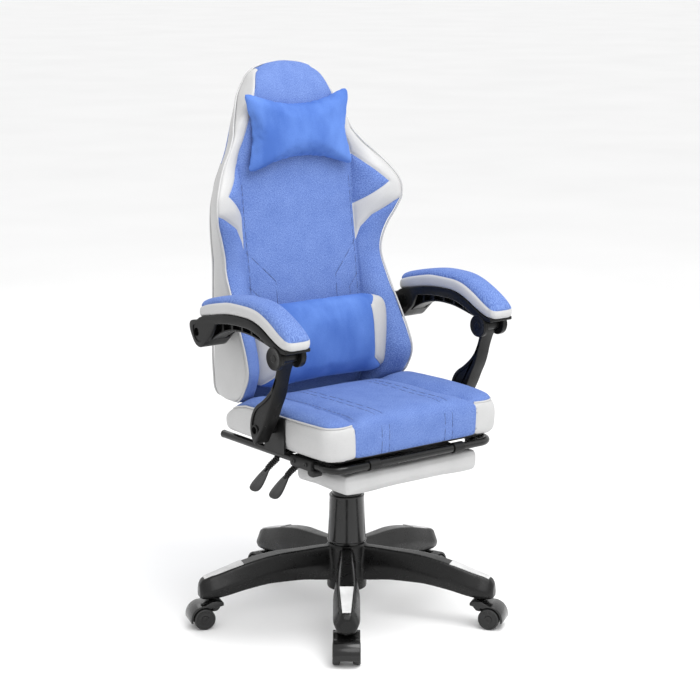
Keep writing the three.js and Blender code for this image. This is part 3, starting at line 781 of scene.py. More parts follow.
def felted_dust_cover(name, colour):
    """Spun-bonded polypropylene under the seat: dull, with a dimple where the fibres are welded, and painted shade
    darkening each dimple.
    """
    made, tree = blank(name)
    spot = node(tree, "TexCoord").outputs["Object"]
    dimple = node(tree, "TexVoronoi", None, {"Vector": spot, "Scale": 400}).outputs["Distance"]
    # Painted shade: the colour is darkened in each dimple.
    tint = ramp(tree, dimple, (0.1, shade(colour, 0.6)), (0.5, colour))
    return surface(made, tint, 0.95, dimple, 0.2, 0.5, Sheen_Weight=0.2)


MATERIALS = {}


def make_materials(look):
    """Mixes every finish from the colours in the panel."""
    stock = {
        "weave": woven_melange(
            "blue polyester melange, woven", look.weave_light, look.weave_dark, look.weave_pitch
        ),
        "velour": brushed_velour("blue polyester velour, brushed", look.velour_light, look.velour_dark),
        "white": embossed_leatherette("white PVC leatherette, embossed", look.white),
        "piping": extruded_vinyl("white vinyl piping, extruded", look.white),
        "thread": twisted_thread("navy polyester thread, twisted", look.thread),
        "white_thread": twisted_thread("white polyester thread, twisted", look.white),
        "nylon": moulded_nylon("black nylon, moulded satin", look.black, 0.26, 0.9, 0.08, 0.0, 0.2),
        "grained": moulded_nylon(
            "black nylon, moulded with a coarse grain", look.charcoal, 0.5, 1.8, 0.35, 0.0, 0.35
        ),
        "gloss": moulded_nylon("black nylon, moulded and polished", look.black, 0.16, 0.9, 0.04, 0.25, 0.3),
        "tread": moulded_nylon("black polyurethane tread, moulded", look.charcoal, 0.45, 1.2, 0.1),
        "base": moulded_nylon("black glass-filled nylon base, moulded", look.black, 0.24, 1.1, 0.08, 0.0, 0.26),
        "pale": moulded_nylon("pale grey ABS, moulded", look.pale, 0.42, 0.8, 0.08),
        "coat": powder_coat("black powder coat on steel, baked", look.black, 0.2, 0.1),
        "pressed": powder_coat("black powder coat on pressed steel", look.black, 0.36, 0.0),
        "steel": turned_steel("bright steel, turned", look.steel),
        "felt": felted_dust_cover("black spun-bonded dust cover", look.charcoal),
    }
    MATERIALS.update(stock)


# ---------------------------------------------------------------- backrest
# Each row is the height, the front seam (x, y), the outer piping (x, y), the rear edge (x, y), and how deep the
# middle of the front and of the rear lie.
BACK = [
    [505, 150, 152, 205, 132, 196, 186, 150, 192],
    [520, 160, 151, 232, 98, 222, 196, 149, 199],
    [555, 160, 150, 236, 66, 228, 201, 149, 202],
    [590, 160, 150, 236, 54, 228, 204, 149, 204],
    [635, 160, 151, 234, 68, 226, 207, 150, 207],
    [680, 160, 153, 231, 92, 224, 209, 152, 210],
    [750, 160, 160, 226, 130, 218, 215, 159, 217],
    [820, 160, 170, 223, 158, 212, 223, 169, 225],
    [880, 160, 179, 238, 150, 211, 231, 178, 234],
    [915, 160, 184, 254, 138, 208, 236, 183, 239],
    [950, 160, 188, 263, 128, 202, 241, 186, 244],
    [975, 160, 191, 261, 129, 193, 245, 189, 248],
    [1000, 160, 193, 250, 138, 184, 249, 191, 252],
    [1020, 161, 195, 237, 150, 174, 251, 192, 255],
    [1045, 161, 196, 216, 167, 162, 253, 193, 258],
    [1070, 154, 197, 192, 183, 151, 256, 193, 261],
    [1100, 141, 197, 170, 200, 140, 260, 193, 264],
    [1137, 128, 196, 156, 215, 127, 264, 192, 267],
    [1163, 119, 196, 138, 236, 117, 266, 191, 269],
    [1190, 111, 199, 123, 250, 109, 267, 193, 270],
    [1212, 103, 207, 108, 257, 98, 267, 200, 270],
    [1225, 98, 214, 100, 257, 90, 267, 207, 269],
    [1237, 92, 223, 92, 255, 84, 264, 217, 266],
    [1246, 82, 231, 82, 252, 77, 260, 226, 262],
    [1254, 63, 237, 63, 250, 60, 256, 234, 258],
    [1259, 42, 242, 42, 249, 40, 253, 240, 254],
    [1262, 6, 246, 6, 248, 6, 250, 246, 250],
]
WING_PATCH = [
    (160, 842), (170, 872), (193, 901), (243, 930), (285, 948), (285, 1075), (160, 1075), (160, 1047),
    (172, 1036), (229, 980), (160, 927),
]
PATCH_SEAMS = [
    [(160, 842), (170, 872), (193, 901), (243, 930), (285, 948)],
    [(160, 927), (229, 980), (172, 1036), (156, 1050)],
]
PANEL_STITCH = [
    [(156, 841), (86, 770), (86, 560)],
    [(156, 762), (128, 735), (128, 560)],
]
FRONT, WING, FLANK, REAR = 36, 32, 34, 34


def curve_between(a, b, c, count):
    """Points on a bent line from a to c that leans to b, without its last point."""
    t = np.linspace(0, 1, count, endpoint=False)[:, None]
    return a * (1 - t) ** 2 + b * 2 * t * (1 - t) + c * t * t


def back_half(row, height):
    """One side of a level section of the backrest, from the middle of the front round to the rear."""
    x1, y1, x2, y2, x3, y3, front, rear = row
    neck = np.clip((height - 1015) / 110, 0, 1)
    crown = min(7, x1 / 14)
    first = np.linspace(0, 1, FRONT, endpoint=False)[:, None]
    crowned = crown * (1 - first**2) * (1 - first**6)
    panel = np.hstack([first * x1, front + (y1 - front) * first**4 - crowned])
    lean = np.array([x1 + (0.42 + 0.58 * neck) * (x2 - x1), y2 + (0.02 + 0.9 * neck) * (y1 - y2)])
    if neck < 1:
        lean[1] -= (1 - neck) * 9
    wing = curve_between(np.array([x1, y1]), lean, np.array([x2, y2]), WING)
    flank_lean = np.array([(x2 + x3) / 2 + 9 - 4 * neck, (y2 + y3) / 2])
    flank = curve_between(np.array([x2, y2]), flank_lean, np.array([x3, y3]), FLANK)
    s = np.linspace(0, 1, REAR)[:, None]
    s = s**1.3
    back_x = x3 * (1 - s)
    swell = (rear - y3) * (1 - (1 - s) ** 3) + 4 * s * (1 - s)
    rear_part = np.hstack([back_x, y3 + swell])
    return np.vstack([panel, wing, flank, rear_part])


def front_seams(tree, runs):
    """Seams drawn from the front on both sides of the backrest."""
    found = []
    for side in (1, -1):
        found += [laid_seam(tree, [(side * x, 0, z) for x, z in run], (0, 1, 0)) for run in runs]
    return found


def build_backrest(look, sizes):
    """The backrest: one sewn skin in two finishes, its piping and its stitching."""
    rounding = 1262 - 18 * (1 - np.sin(np.linspace(0, math.pi / 2, 12)))
    heights = np.concatenate([np.arange(506, 1244, 4.4), rounding])
    table = between(BACK, heights)
    rows = []
    for height, row in zip(heights, table):
        half = back_half(row, height)
        ring = np.vstack([half, (half * [-1, 1])[-2:0:-1]])
        rows.append(np.hstack([ring, np.full((len(ring), 1), height)]))
    rows = np.array(rows)
    middle = rows[0].mean(0)
    underside = [middle + (rows[0] - middle) * s + [0, 0, -0.8 * (1 - s)] for s in (0, 0.3, 0.6, 0.85, 0.97)]
    rows = np.concatenate([np.array(underside), rows])
    count = rows.shape[1]
    u = np.concatenate([[0], np.cumsum(np.linalg.norm(np.diff(rows[60], axis=0), axis=1))])
    v = np.concatenate([[0], np.cumsum(np.linalg.norm(np.diff(rows[:, 0], axis=0), axis=1))])
    piece = skin("backrest_cover", rows, chart=np.stack(np.meshgrid(u[:count], v), 2))
    edge = {}
    for key, column in (("front", 0), ("outer", 2), ("rear", 4)):
        edge[key] = np.column_stack([table[:, column], table[:, column + 1], heights])
    for side in (1, -1):
        for run in PATCH_SEAMS:
            seam_cut(piece, [(side * x, z) for x, z in run], "xz", 2,
                     keep=lambda p, s=side: p[0] * s > 152 and p[1] < 215 and p[2] > 800)

    def finishes(middle, normal):
        x, y, z = np.abs(middle[:, 0]), middle[:, 1], middle[:, 2]
        x1, y1, x2, y2, x3, y3 = between(BACK, z)[:, :6].T
        # How far round the section a face lies: 0 at the front seam, 1 at the piping, 2 at the rear edge.
        on_front = (y < np.minimum(y1, y2) + np.abs(y1 - y2) * 0.999 + 0.5) & (normal[:, 1] < 0.55)
        wing = on_front & (x > x1 - 0.5) & ~beyond(x, y, x1, y1, x2, y2, x3, y3)
        panel = (x <= x1 - 0.5) & (normal[:, 1] < 0.1)
        rear = ~panel & ~wing & (((y > y3 - 1.0) & (x < x3 + 1)) | (normal[:, 1] > 0.9))
        white = np.zeros(len(z), bool)
        pair = np.column_stack([x, z])
        white |= wing & inside(pair, WING_PATCH)
        white |= wing & (z > 1043)
        flank = ~panel & ~wing & ~rear
        top = (z > 1043) & (y > np.interp(z, [1040, 1100, 1160, 1190], [205, 232, 262, 300]))
        white |= flank & ~top
        white &= z < 1250
        return np.where(white, 1, 0)

    def beyond(x, y, x1, y1, x2, y2, x3, y3):
        """Past the piping, on the flank side of the line that halves the corner there."""
        inward = np.stack([x1 - x2, y1 - y2], 1)
        rearward = np.stack([x3 - x2, y3 - y2], 1)
        inward /= np.linalg.norm(inward, axis=1)[:, None] + 1e-9
        rearward /= np.linalg.norm(rearward, axis=1)[:, None] + 1e-9
        offset = np.stack([x - x2, y - y2], 1)
        return np.einsum("ij,ij->i", offset, rearward - inward) > 0

    seams = []
    for side in (1, -1):
        for key in edge:
            part = edge[key] * [side, 1, 1]
            seams.append(part[part[:, 2] < (1250 if key == "front" else 1256)])
    zone(piece, finishes)
    patch_lines = front_seams(over(piece), PATCH_SEAMS)
    quilt(piece, seams + patch_lines, 3.2, 16, 2.2, 3.2)
    points, normal = mesh_points(piece)
    push(piece, points + normal * uneven(points, 55, 0.9)[:, None])
    quilt(piece, front_seams(over(piece), PANEL_STITCH), 0.0, 16, 1.5, 3.0)
    dress(piece, MATERIALS["weave"], MATERIALS["white"])
    smooth(piece, 180)
    finish(piece, "back", "blue_weave", "backrest")

    cords = []
    for side in (1, -1):
        for key in ("outer", "rear"):
            path = edge[key] * [side, 1, 1]
            path = path[(path[:, 2] > 512) & (path[:, 2] < (1250 if key == "outer" else 1040))]
            swell = np.array([side * 1.2, -0.8 if key == "outer" else 0.8, 0])
            cords.append(tube("cord", place(evenly(path + swell, len(path))), sizes.piping / 2))
    crown = edge["outer"][edge["outer"][:, 2] >= 1245]
    arch = np.vstack([crown * [-1, 1, 1], crown[::-1]])
    arch[:, 2] += 2.2
    cords.append(tube("cord", place(evenly(arch, 60)), sizes.piping / 2))
    piped("backrest_piping", cords, "back")

    surface_tree = over(piece)
    runs = []
    for side in (1, -1):
        for run in PANEL_STITCH:
            runs.append(lay(surface_tree, [(side * x, 0, z) for x, z in run], (0, 1, 0), 0.25))
        path = [(side * 153, 0, z) for z in np.arange(520, 1010, 12)]
        runs.append(lay(surface_tree, path, (0, 1, 0), 0.2))
    sewn("backrest_stitching", runs, sizes, "back", "blue_weave", "thread")
    white_runs = []
    for side in (1, -1):
        path = [(side * 400, np.interp(z, heights, table[:, 3]) + 9, z) for z in np.arange(560, 930, 12)]
        white_runs.append(lay(surface_tree, path, (-side, 0, 0), 0.2))
    sewn("backrest_side_stitching", white_runs, sizes, "back", "white_leatherette", "white_thread")


# ---------------------------------------------------------------- seat
SEAT = [
    [-254, 196, 458, 500], [-252, 214, 452, 514], [-246, 230, 448, 523], [-236, 241, 447.4, 529],
    [-215, 246, 447.2, 533], [-200, 246.5, 447.2, 534], [-100, 247.5, 447.2, 535.5], [0, 247.5, 447.2, 534],
    [60, 247, 447.2, 528], [94, 246, 447.2, 514], [130, 241, 447.2, 494], [147, 230, 448, 478],
    [152, 212, 452, 468],
]
BAND = [
    (170, 470), (150, 478), (128, 496), (95, 508), (60, 516), (0, 519), (-90, 519), (-200, 521), (-235, 521),
    (-262, 520),
]
VALLEY = [(150, 160), (152, 90), (155, 0), (156, -120), (157, -190), (163, -225), (172, -250), (173, -262)]
SEAT_STITCH = (82, 103)


def build_seat(look, sizes):
    """The seat cushion: a remeshed loft sewn along its band and bolsters, with piping and twin stitching."""
    depth = np.concatenate([[-254, -252.5, -250, -246, -241], np.arange(-235, 142, 7), [145, 149, 152]])
    table = between(SEAT, depth)
    rows = []
    for y, (half, low, high) in zip(depth, table):
        soft = min(20, (high - low) * 0.45)
        ring = section(half - 14, half, half - 3, high, (high + low) / 2 + 14, low, soft, 7)
        rows.append(np.column_stack([ring[:, 0], np.full(len(ring), y), ring[:, 1]]))
    piece = skin("seat_cover", capped(rows))
    modify(piece, "REMESH", mode="VOXEL", voxel_size=0.0046)
    modify(piece, "SMOOTH", factor=0.5, iterations=4)
    points, normal = mesh_points(piece)
    x, y = np.abs(points[:, 0]), points[:, 1]
    valley_x = np.interp(-y, [-v[1] for v in VALLEY], [v[0] for v in VALLEY])
    upper = np.clip((normal[:, 2] - 0.25) / 0.4, 0, 1)
    dip = 8.5 * np.exp(-(((x - valley_x) / 19) ** 2))
    dip *= np.interp(y, [-258, -246, -225, 110, 150], [0.1, 0.5, 1, 1, 0.3])
    bolster = 3.5 * np.exp(-(((x - 208) / 28) ** 2)) * np.interp(y, [-250, -200, 60, 140], [0, 1, 1, 0])
    roll = 2.5 * np.exp(-(((y + 215) / 45) ** 2)) * (x < 160)
    points[:, 2] += upper * (bolster + roll - dip)
    push(piece, points)
    band_line = [(y, z) for y, z in reversed(BAND)]
    seam_cut(piece, band_line, "yz", 3, keep=lambda p: abs(p[0]) > 165 or p[1] > 135)
    for side in (1, -1):
        seam_cut(piece, [(side * 170, 440), (side * 173, 527)], "xz", 2, keep=lambda p: p[1] < -225)
        seam_cut(piece, [(side * x, y) for x, y in VALLEY], "xy", 2, keep=lambda p: p[2] > 500)

    def band_height(y):
        return np.interp(-y, [-b[0] for b in BAND], [b[1] for b in BAND])

    def finishes(middle, normal):
        x, y, z = np.abs(middle[:, 0]), middle[:, 1], middle[:, 2]
        front_strip = (y < -215) & (x < np.interp(z, [440, 527], [170, 173]))
        white = (z < band_height(y)) & ~front_strip
        under = (normal[:, 2] < -0.8) & (z < 452)
        return np.where(under, 2, np.where(white, 1, 0))

    zone(piece, finishes)
    chart_cloth(piece, lambda p: np.column_stack([p[:, 0], p[:, 1] + (p[:, 2] - 527) * (p[:, 1] < -150)]))
    tree = over(piece)
    band_sides, corners, strips, valleys = [], [], [], []
    for side in (1, -1):
        flank = [(side * 400, y, z) for y, z in BAND if -238 <= y <= 145]
        band_sides.append(laid_seam(tree, flank, (-side, 0, 0)))
        corner = [(side * x, -420, 521) for x in (174, 190, 205, 220, 231)]
        corners.append(laid_seam(tree, corner, (0, 1, 0)))
        strips.append(laid_seam(tree, [(side * 173, -420, 521), (side * 170, -420, 452)], (0, 1, 0)))
        valley = [(side * x, y, 900) for x, y in VALLEY if -248 < y < 140]
        valleys.append(laid_seam(tree, valley, (0, 0, -1)))
    quilt(piece, band_sides + corners + strips + valleys, 2.4, 14, 1.9, 3.0)
    points, normal = mesh_points(piece)
    push(piece, points + normal * (uneven(points, 60, 0.8) * (normal[:, 2] > -0.5))[:, None])
    tree = over(piece)
    twin = []
    for side in (1, -1):
        for x in SEAT_STITCH:
            top = [(side * x, y, 900) for y in (100, -232)]
            front = [(side * (x - 3), -420, z) for z in (512, 452)]
            twin.append((top, front))
    lines = [laid_seam(tree, top, (0, 0, -1)) for top, _ in twin]
    lines += [laid_seam(tree, front, (0, 1, 0)) for _, front in twin]
    quilt(piece, lines, 0.0, 14, 1.5, 3.2)
    dress(piece, MATERIALS["weave"], MATERIALS["white"], MATERIALS["felt"])
    smooth(piece, 180)
    finish(piece, "seat", "blue_weave", "seat_cushion")
    tree = over(piece)
    runs = []
    for top, front in twin:
        runs.append(lay(tree, top, (0, 0, -1), 0.25) + lay(tree, front, (0, 1, 0), 0.25))
    for side in (1, -1):
        valley = [(side * (x - 7), y, 900) for x, y in VALLEY if -240 < y < 100]
        runs.append(lay(tree, valley, (0, 0, -1), 0.2))
    sewn("seat_stitching", runs, sizes, "seat", "blue_weave", "thread")
    cords = []
    for side, flank, corner in zip((1, -1), band_sides, corners):
        path = np.vstack([corner, flank[::-1] if flank[0][1] > flank[-1][1] else flank])
        cords.append(tube("cord", place(evenly(path, 130)), sizes.piping / 2))
    piped("seat_piping", cords, "seat")


# ---------------------------------------------------------------- pillows
def soft_outline(half_x, half_z, pinch_x, pinch_z, count=96):
    """A four-cornered pillow outline whose sides pull in between rounded corners."""
    t = np.linspace(-1, 1, 25)[:-1]
    top = np.column_stack([t * half_x, half_z - pinch_z * (1 - t**2)])
    right = np.column_stack([half_x - pinch_x * (1 - t**2), -t * half_z])
    outline = np.vstack([top, right, -top, -right])
    outline = evenly(outline, count, closed=True)
    for _ in range(9):
        outline = (np.roll(outline, 1, 0) + 2 * outline + np.roll(outline, -1, 0)) / 4
    return outline


def build_head_pillow(look, sizes):
    """The head pillow, stuffed by cloth pressure, with a rolled edge seam."""
    outline = soft_outline(161, 99, 22, 28)
    front, back = 30, 9
    rows = []
    for s in np.sin(np.linspace(0, math.pi / 2, 22)):
        rows.append((s, -front * (1 - s**2.6) ** 0.75))
    rows += [(s, back * (1 - s**2.6) ** 0.75) for s, _ in rows[-2::-1]]
    lean = math.radians(5)
    made = []
    for s, depth in rows:
        ring = outline * s
        y = 181 + depth * math.cos(lean) + ring[:, 1] * math.sin(lean)
        made.append(np.column_stack([ring[:, 0], y, 1112 + ring[:, 1] * math.cos(lean)]))
    piece = skin("head_pillow_cover", made)
    inflate(piece, 4.0, 13, pressure=3.0)
    modify(piece, "SMOOTH", factor=0.5, iterations=2)
    points, normal = mesh_points(piece)
    sideways, up = outline.T
    edge = np.column_stack([sideways, 181 + up * math.sin(lean), 1112 + up * math.cos(lean)])
    gap = seam_distance(points, [np.vstack([edge, edge[:1]])])
    gather = np.sin(np.arctan2(points[:, 2] - 1112, points[:, 0]) * 34) * np.exp(-((gap - 14) / 12) ** 2)
    crease = uneven(points, 34, 1.4) * np.clip(gap / 60, 0, 1)
    push(piece, points + normal * (gather * 0.7 + crease)[:, None])
    modify(piece, "SUBSURF", levels=1, render_levels=1)
    smooth(piece, 180)
    finish(piece, "back", "blue_velour", "head_pillow", material=MATERIALS["velour"])


def build_lumbar_pillow(look, sizes):
    """The lumbar pillow: a stuffed bolster in velour with leatherette ends and piping."""
    rows = []
    for x in np.concatenate([[-190, -189, -186, -181], np.arange(-175, 176, 7), [181, 186, 189, 190]]):
        end = np.clip((abs(x) - 128) / 62, 0, 1)
        shrink_to = math.sqrt(max(0.0, 1 - max(0.0, (abs(x) - 176) / 15) ** 2)) * 0.35 + 0.65
        half = (93 - 12 * end**1.5) * shrink_to
        front = 62 + 28 * end**1.6
        rear = 143 - 30 * end
        middle, deep = (front + rear) / 2, (rear - front) / 2 * shrink_to
        turn = np.linspace(0, math.tau, 56, endpoint=False)
        power = 0.72
        y = middle - deep * np.sign(np.cos(turn)) * np.abs(np.cos(turn)) ** power
        z = 633 - 4 * end + half * np.sign(np.sin(turn)) * np.abs(np.sin(turn)) ** power
        rows.append(np.column_stack([np.full(56, x), y, z]))
    piece = skin("lumbar_pillow_cover", capped(rows))
    inflate(piece, 5.0, 5, pressure=2.5)
    modify(piece, "SMOOTH", factor=0.5, iterations=12)
    tip = [(160, 735), (128, 704), (136, 578), (186, 540), (200, 532)]
    for side in (1, -1):
        seam_cut(piece, [(side * x, z) for x, z in tip], "xz", 3, keep=lambda p: p[1] < 128)
    ends = tip + [(240, 532), (240, 735)]

    def finishes(middle, normal):
        pair = np.column_stack([np.abs(middle[:, 0]), middle[:, 2]])
        return np.where(inside(pair, ends) & (middle[:, 1] < 128), 1, 0)

    zone(piece, finishes)
    seams = front_seams(over(piece), [tip[1:4]])
    quilt(piece, seams, 1.6, 14, 1.8, 4.0)
    points, normal = mesh_points(piece)
    gap = seam_distance(points, seams)
    push(piece, points + normal * (uneven(points, 60, 0.8) * np.clip(gap / 40, 0, 1))[:, None])
    dress(piece, MATERIALS["velour"], MATERIALS["white"])
    modify(piece, "SUBSURF", levels=1, render_levels=1)
    smooth(piece, 180)
    finish(piece, "back", "blue_velour", "lumbar_pillow")
    tree = over(piece)
    cords = []
    for side in (1, -1):
        laid = lay(tree, [(side * x, 0, z) for x, z in tip[1:4]], (0, 1, 0), 0.2)
        cords.append(tube("cord", np.array([s for s, _ in laid]), sizes.piping * 0.36))
    piped("lumbar_piping", cords, "back")


# ---------------------------------------------------------------- armrests
ARM_X = 287
PAD = [
    [-214, 14, 703, 716], [-212, 22, 699, 721], [-207, 29, 697, 727], [-196, 33, 697, 736], [-175, 34, 702, 749],
    [-150, 34, 713, 762], [-125, 34, 725, 772], [-100, 34, 735, 779], [-50, 34, 744, 783], [8, 34, 742, 780],
    [50, 34, 736, 774], [90, 33, 728, 765], [115, 32, 723, 757], [127, 27, 719, 751], [131, 19, 721, 744],
]
PAD_SEAM = [
    [-240, 713], [-212, 714], [-200, 718], [-175, 730], [-148, 745], [-125, 756], [-100, 765],
    [-50, 770.5], [8, 769.5], [50, 763], [81, 756], [100, 751], [131, 741], [150, 737],
]
FRAME_LOW = [
    [-205, 688], [-170, 688], [-126, 691], [-98, 697], [-60, 704], [-20, 706], [30, 700], [60, 690],
    [80, 680], [100, 667],
]
JOINT = (-162, 674)
REAR_JOINT = (136, 684)
FOOT = (-66, 496)
POST = [
    [-68, 462], [-62, 467], [-53, 479], [-48, 498], [-51, 520], [-60, 540], [-73, 554], [-95, 567],
    [-125, 593], [-140, 618], [-149, 644], [-152, 668], [-171, 668], [-158, 646], [-148, 620],
    [-142, 596], [-134, 575], [-121, 552], [-112, 532], [-98, 508], [-82, 485],
]


def shrink(outline, inset):
    """An outline drawn in towards its inside."""
    outline = np.asarray(outline, float)
    run = np.roll(outline, -1, 0) - np.roll(outline, 1, 0)
    run /= np.linalg.norm(run, axis=1)[:, None]
    turning = np.sum(outline[:, 0] * np.roll(outline[:, 1], -1) - np.roll(outline[:, 0], -1) * outline[:, 1])
    inward = np.column_stack([-run[:, 1], run[:, 0]]) * np.sign(turning)
    return outline + inward * inset


def rod_x(name, radius, near, far, spot, steps=48, lip=0.8):
    """A round bar across the chair with its ends eased."""
    profile = [
        (near, 0), (near, radius - lip), (near + lip, radius), (far - lip, radius), (far, radius - lip), (far, 0),
    ]
    return turned_part(name, profile, mm(0, *spot), (1, 0, 0), steps)


def cut_flanks(piece, name, outline, near, far):
    """Cuts the same pocket into both flanks of an arm part."""
    for start, end in ((near, far), (-far, -near)):
        cut(piece, slab(name, outline, ARM_X + start, ARM_X + end, 0))


def drill(piece, spot, radius, near=-60, far=60, steps=40):
    """Drills an arm part across the chair."""
    cut(piece, rod_x("hole", radius, ARM_X + near, ARM_X + far, spot, steps, 0.1))


def both_arms(piece, name, body, slot, node_name, material=None):
    """Sets out a left piece and its mirror image on the right, and clears the pattern away."""
    made = []
    for hand, side in SIDES:
        one = copy(piece, f"{name}_{hand}", None if side > 0 else across())
        finish(one, f"{body}_{hand}", slot, f"{node_name}_{hand}", material=material)
        made.append(one)
    bpy.data.objects.remove(piece)
    return made


def build_arm_frames(look, sizes):
    """The arched arm frames: short flanks, a ribbed keel and a dished cap each side of the front joint."""
    top = np.array(PAD)[:, [0, 2]]
    low = np.array(FRAME_LOW)

    def under(y, drop):
        return np.column_stack([y, between(top, y)[:, 0] - drop])

    block = [
        [78, 684], [96, 668], [112, 653], [126, 650], [142, 656], [155, 674], [163, 690], [163, 702],
        [156, 709], [134, 712],
    ]
    flange = np.vstack([under(np.linspace(-205, 124, 44), 0.6), eased(block[::-1], 2, closed=False),
                        under(np.linspace(60, -140, 30), 21), [[-168, 688], [-205, 688]]])
    piece = slab("arm_frame_shell", flange, ARM_X - 33, ARM_X + 33, 2.4)
    y = np.linspace(-138, 92, 30)
    hollow = np.vstack([under(y, 60), under(y, 7)[::-1]])
    cut(piece, slab("hollow", hollow, ARM_X - 25, ARM_X + 25, 0))
    y = np.linspace(-150, 96, 40)
    keel = slab("keel", np.vstack([np.column_stack([y, between(low, y)[:, 0]]), under(y, 4)[::-1]]),
                ARM_X - 19, ARM_X + 19, 1.6)
    for start, end in ((-122, -98), (-92, -64), (-58, -28), (-22, 10), (16, 46), (52, 80)):
        y = np.linspace(start, end, 7)
        pocket = np.vstack([np.column_stack([y, between(low, y)[:, 0] + 4]), under(y, 12)[::-1]])
        cut_flanks(keel, "pocket", pocket, 8, 40)
    ears = [rod_x("ear", 26, ARM_X + a, ARM_X + b, JOINT, 64, 1.5) for a, b in ((-33, -22), (22, 33))]
    weld(piece, keel, *ears)
    panel = [[88, 690], [106, 672], [118, 663], [136, 664], [146, 678], [150, 700], [120, 706], [92, 706]]
    cut_flanks(piece, "panel", eased(panel, 2), 31.4, 40)
    drill(piece, JOINT, 5.4)
    drill(piece, REAR_JOINT, 9.6, steps=48)
    dish = [
        (33, 0), (33, 25.2), (34.6, 25.2), (35.6, 24.2), (35.6, 21), (34.2, 18.5), (34.2, 9), (35.2, 7.4),
        (35.2, 0),
    ]
    caps = []
    for side in (1, -1):
        profile = [(side * along, radius) for along, radius in dish]
        caps.append(turned_part("cap", profile, mm(ARM_X, *JOINT), (1, 0, 0), 64))
    piece = join(piece, *caps)
    smooth(piece, 32)
    both_arms(piece, "arm_frame_shell", "armrest", "black_nylon", "arm_frame", MATERIALS["nylon"])


def build_arm_posts(look, sizes):
    """The curved posts with a raised rim, a barrel at the top and a sunk bolt hole at the foot."""
    outline = eased(POST, 2)
    piece = slab("arm_post_shell", outline, ARM_X - 18, ARM_X + 18, 3.2, 3)
    inner = evenly([p for p in shrink(outline, 7.5) if 484 < p[1] < 630], 60, closed=True)
    cut_flanks(piece, "flank", inner, 15.6, 30)
    barrel = rod_x("barrel", 13, ARM_X - 21.4, ARM_X + 21.4, JOINT, 48, 1)
    boss = rod_x("boss", 14, 253.5, ARM_X - 16, FOOT, 48, 1)
    pad = rod_x("pad", 12.5, ARM_X + 14, ARM_X + 18.6, FOOT, 48, 1.2)
    weld(piece, barrel, boss, pad)
    drill(piece, JOINT, 5.4)
    drill(piece, FOOT, 5.4)
    drill(piece, FOOT, 8.4, 11, 30)
    smooth(piece, 32)
    both_arms(piece, "arm_post_shell", "post", "black_nylon", "arm_post", MATERIALS["nylon"])


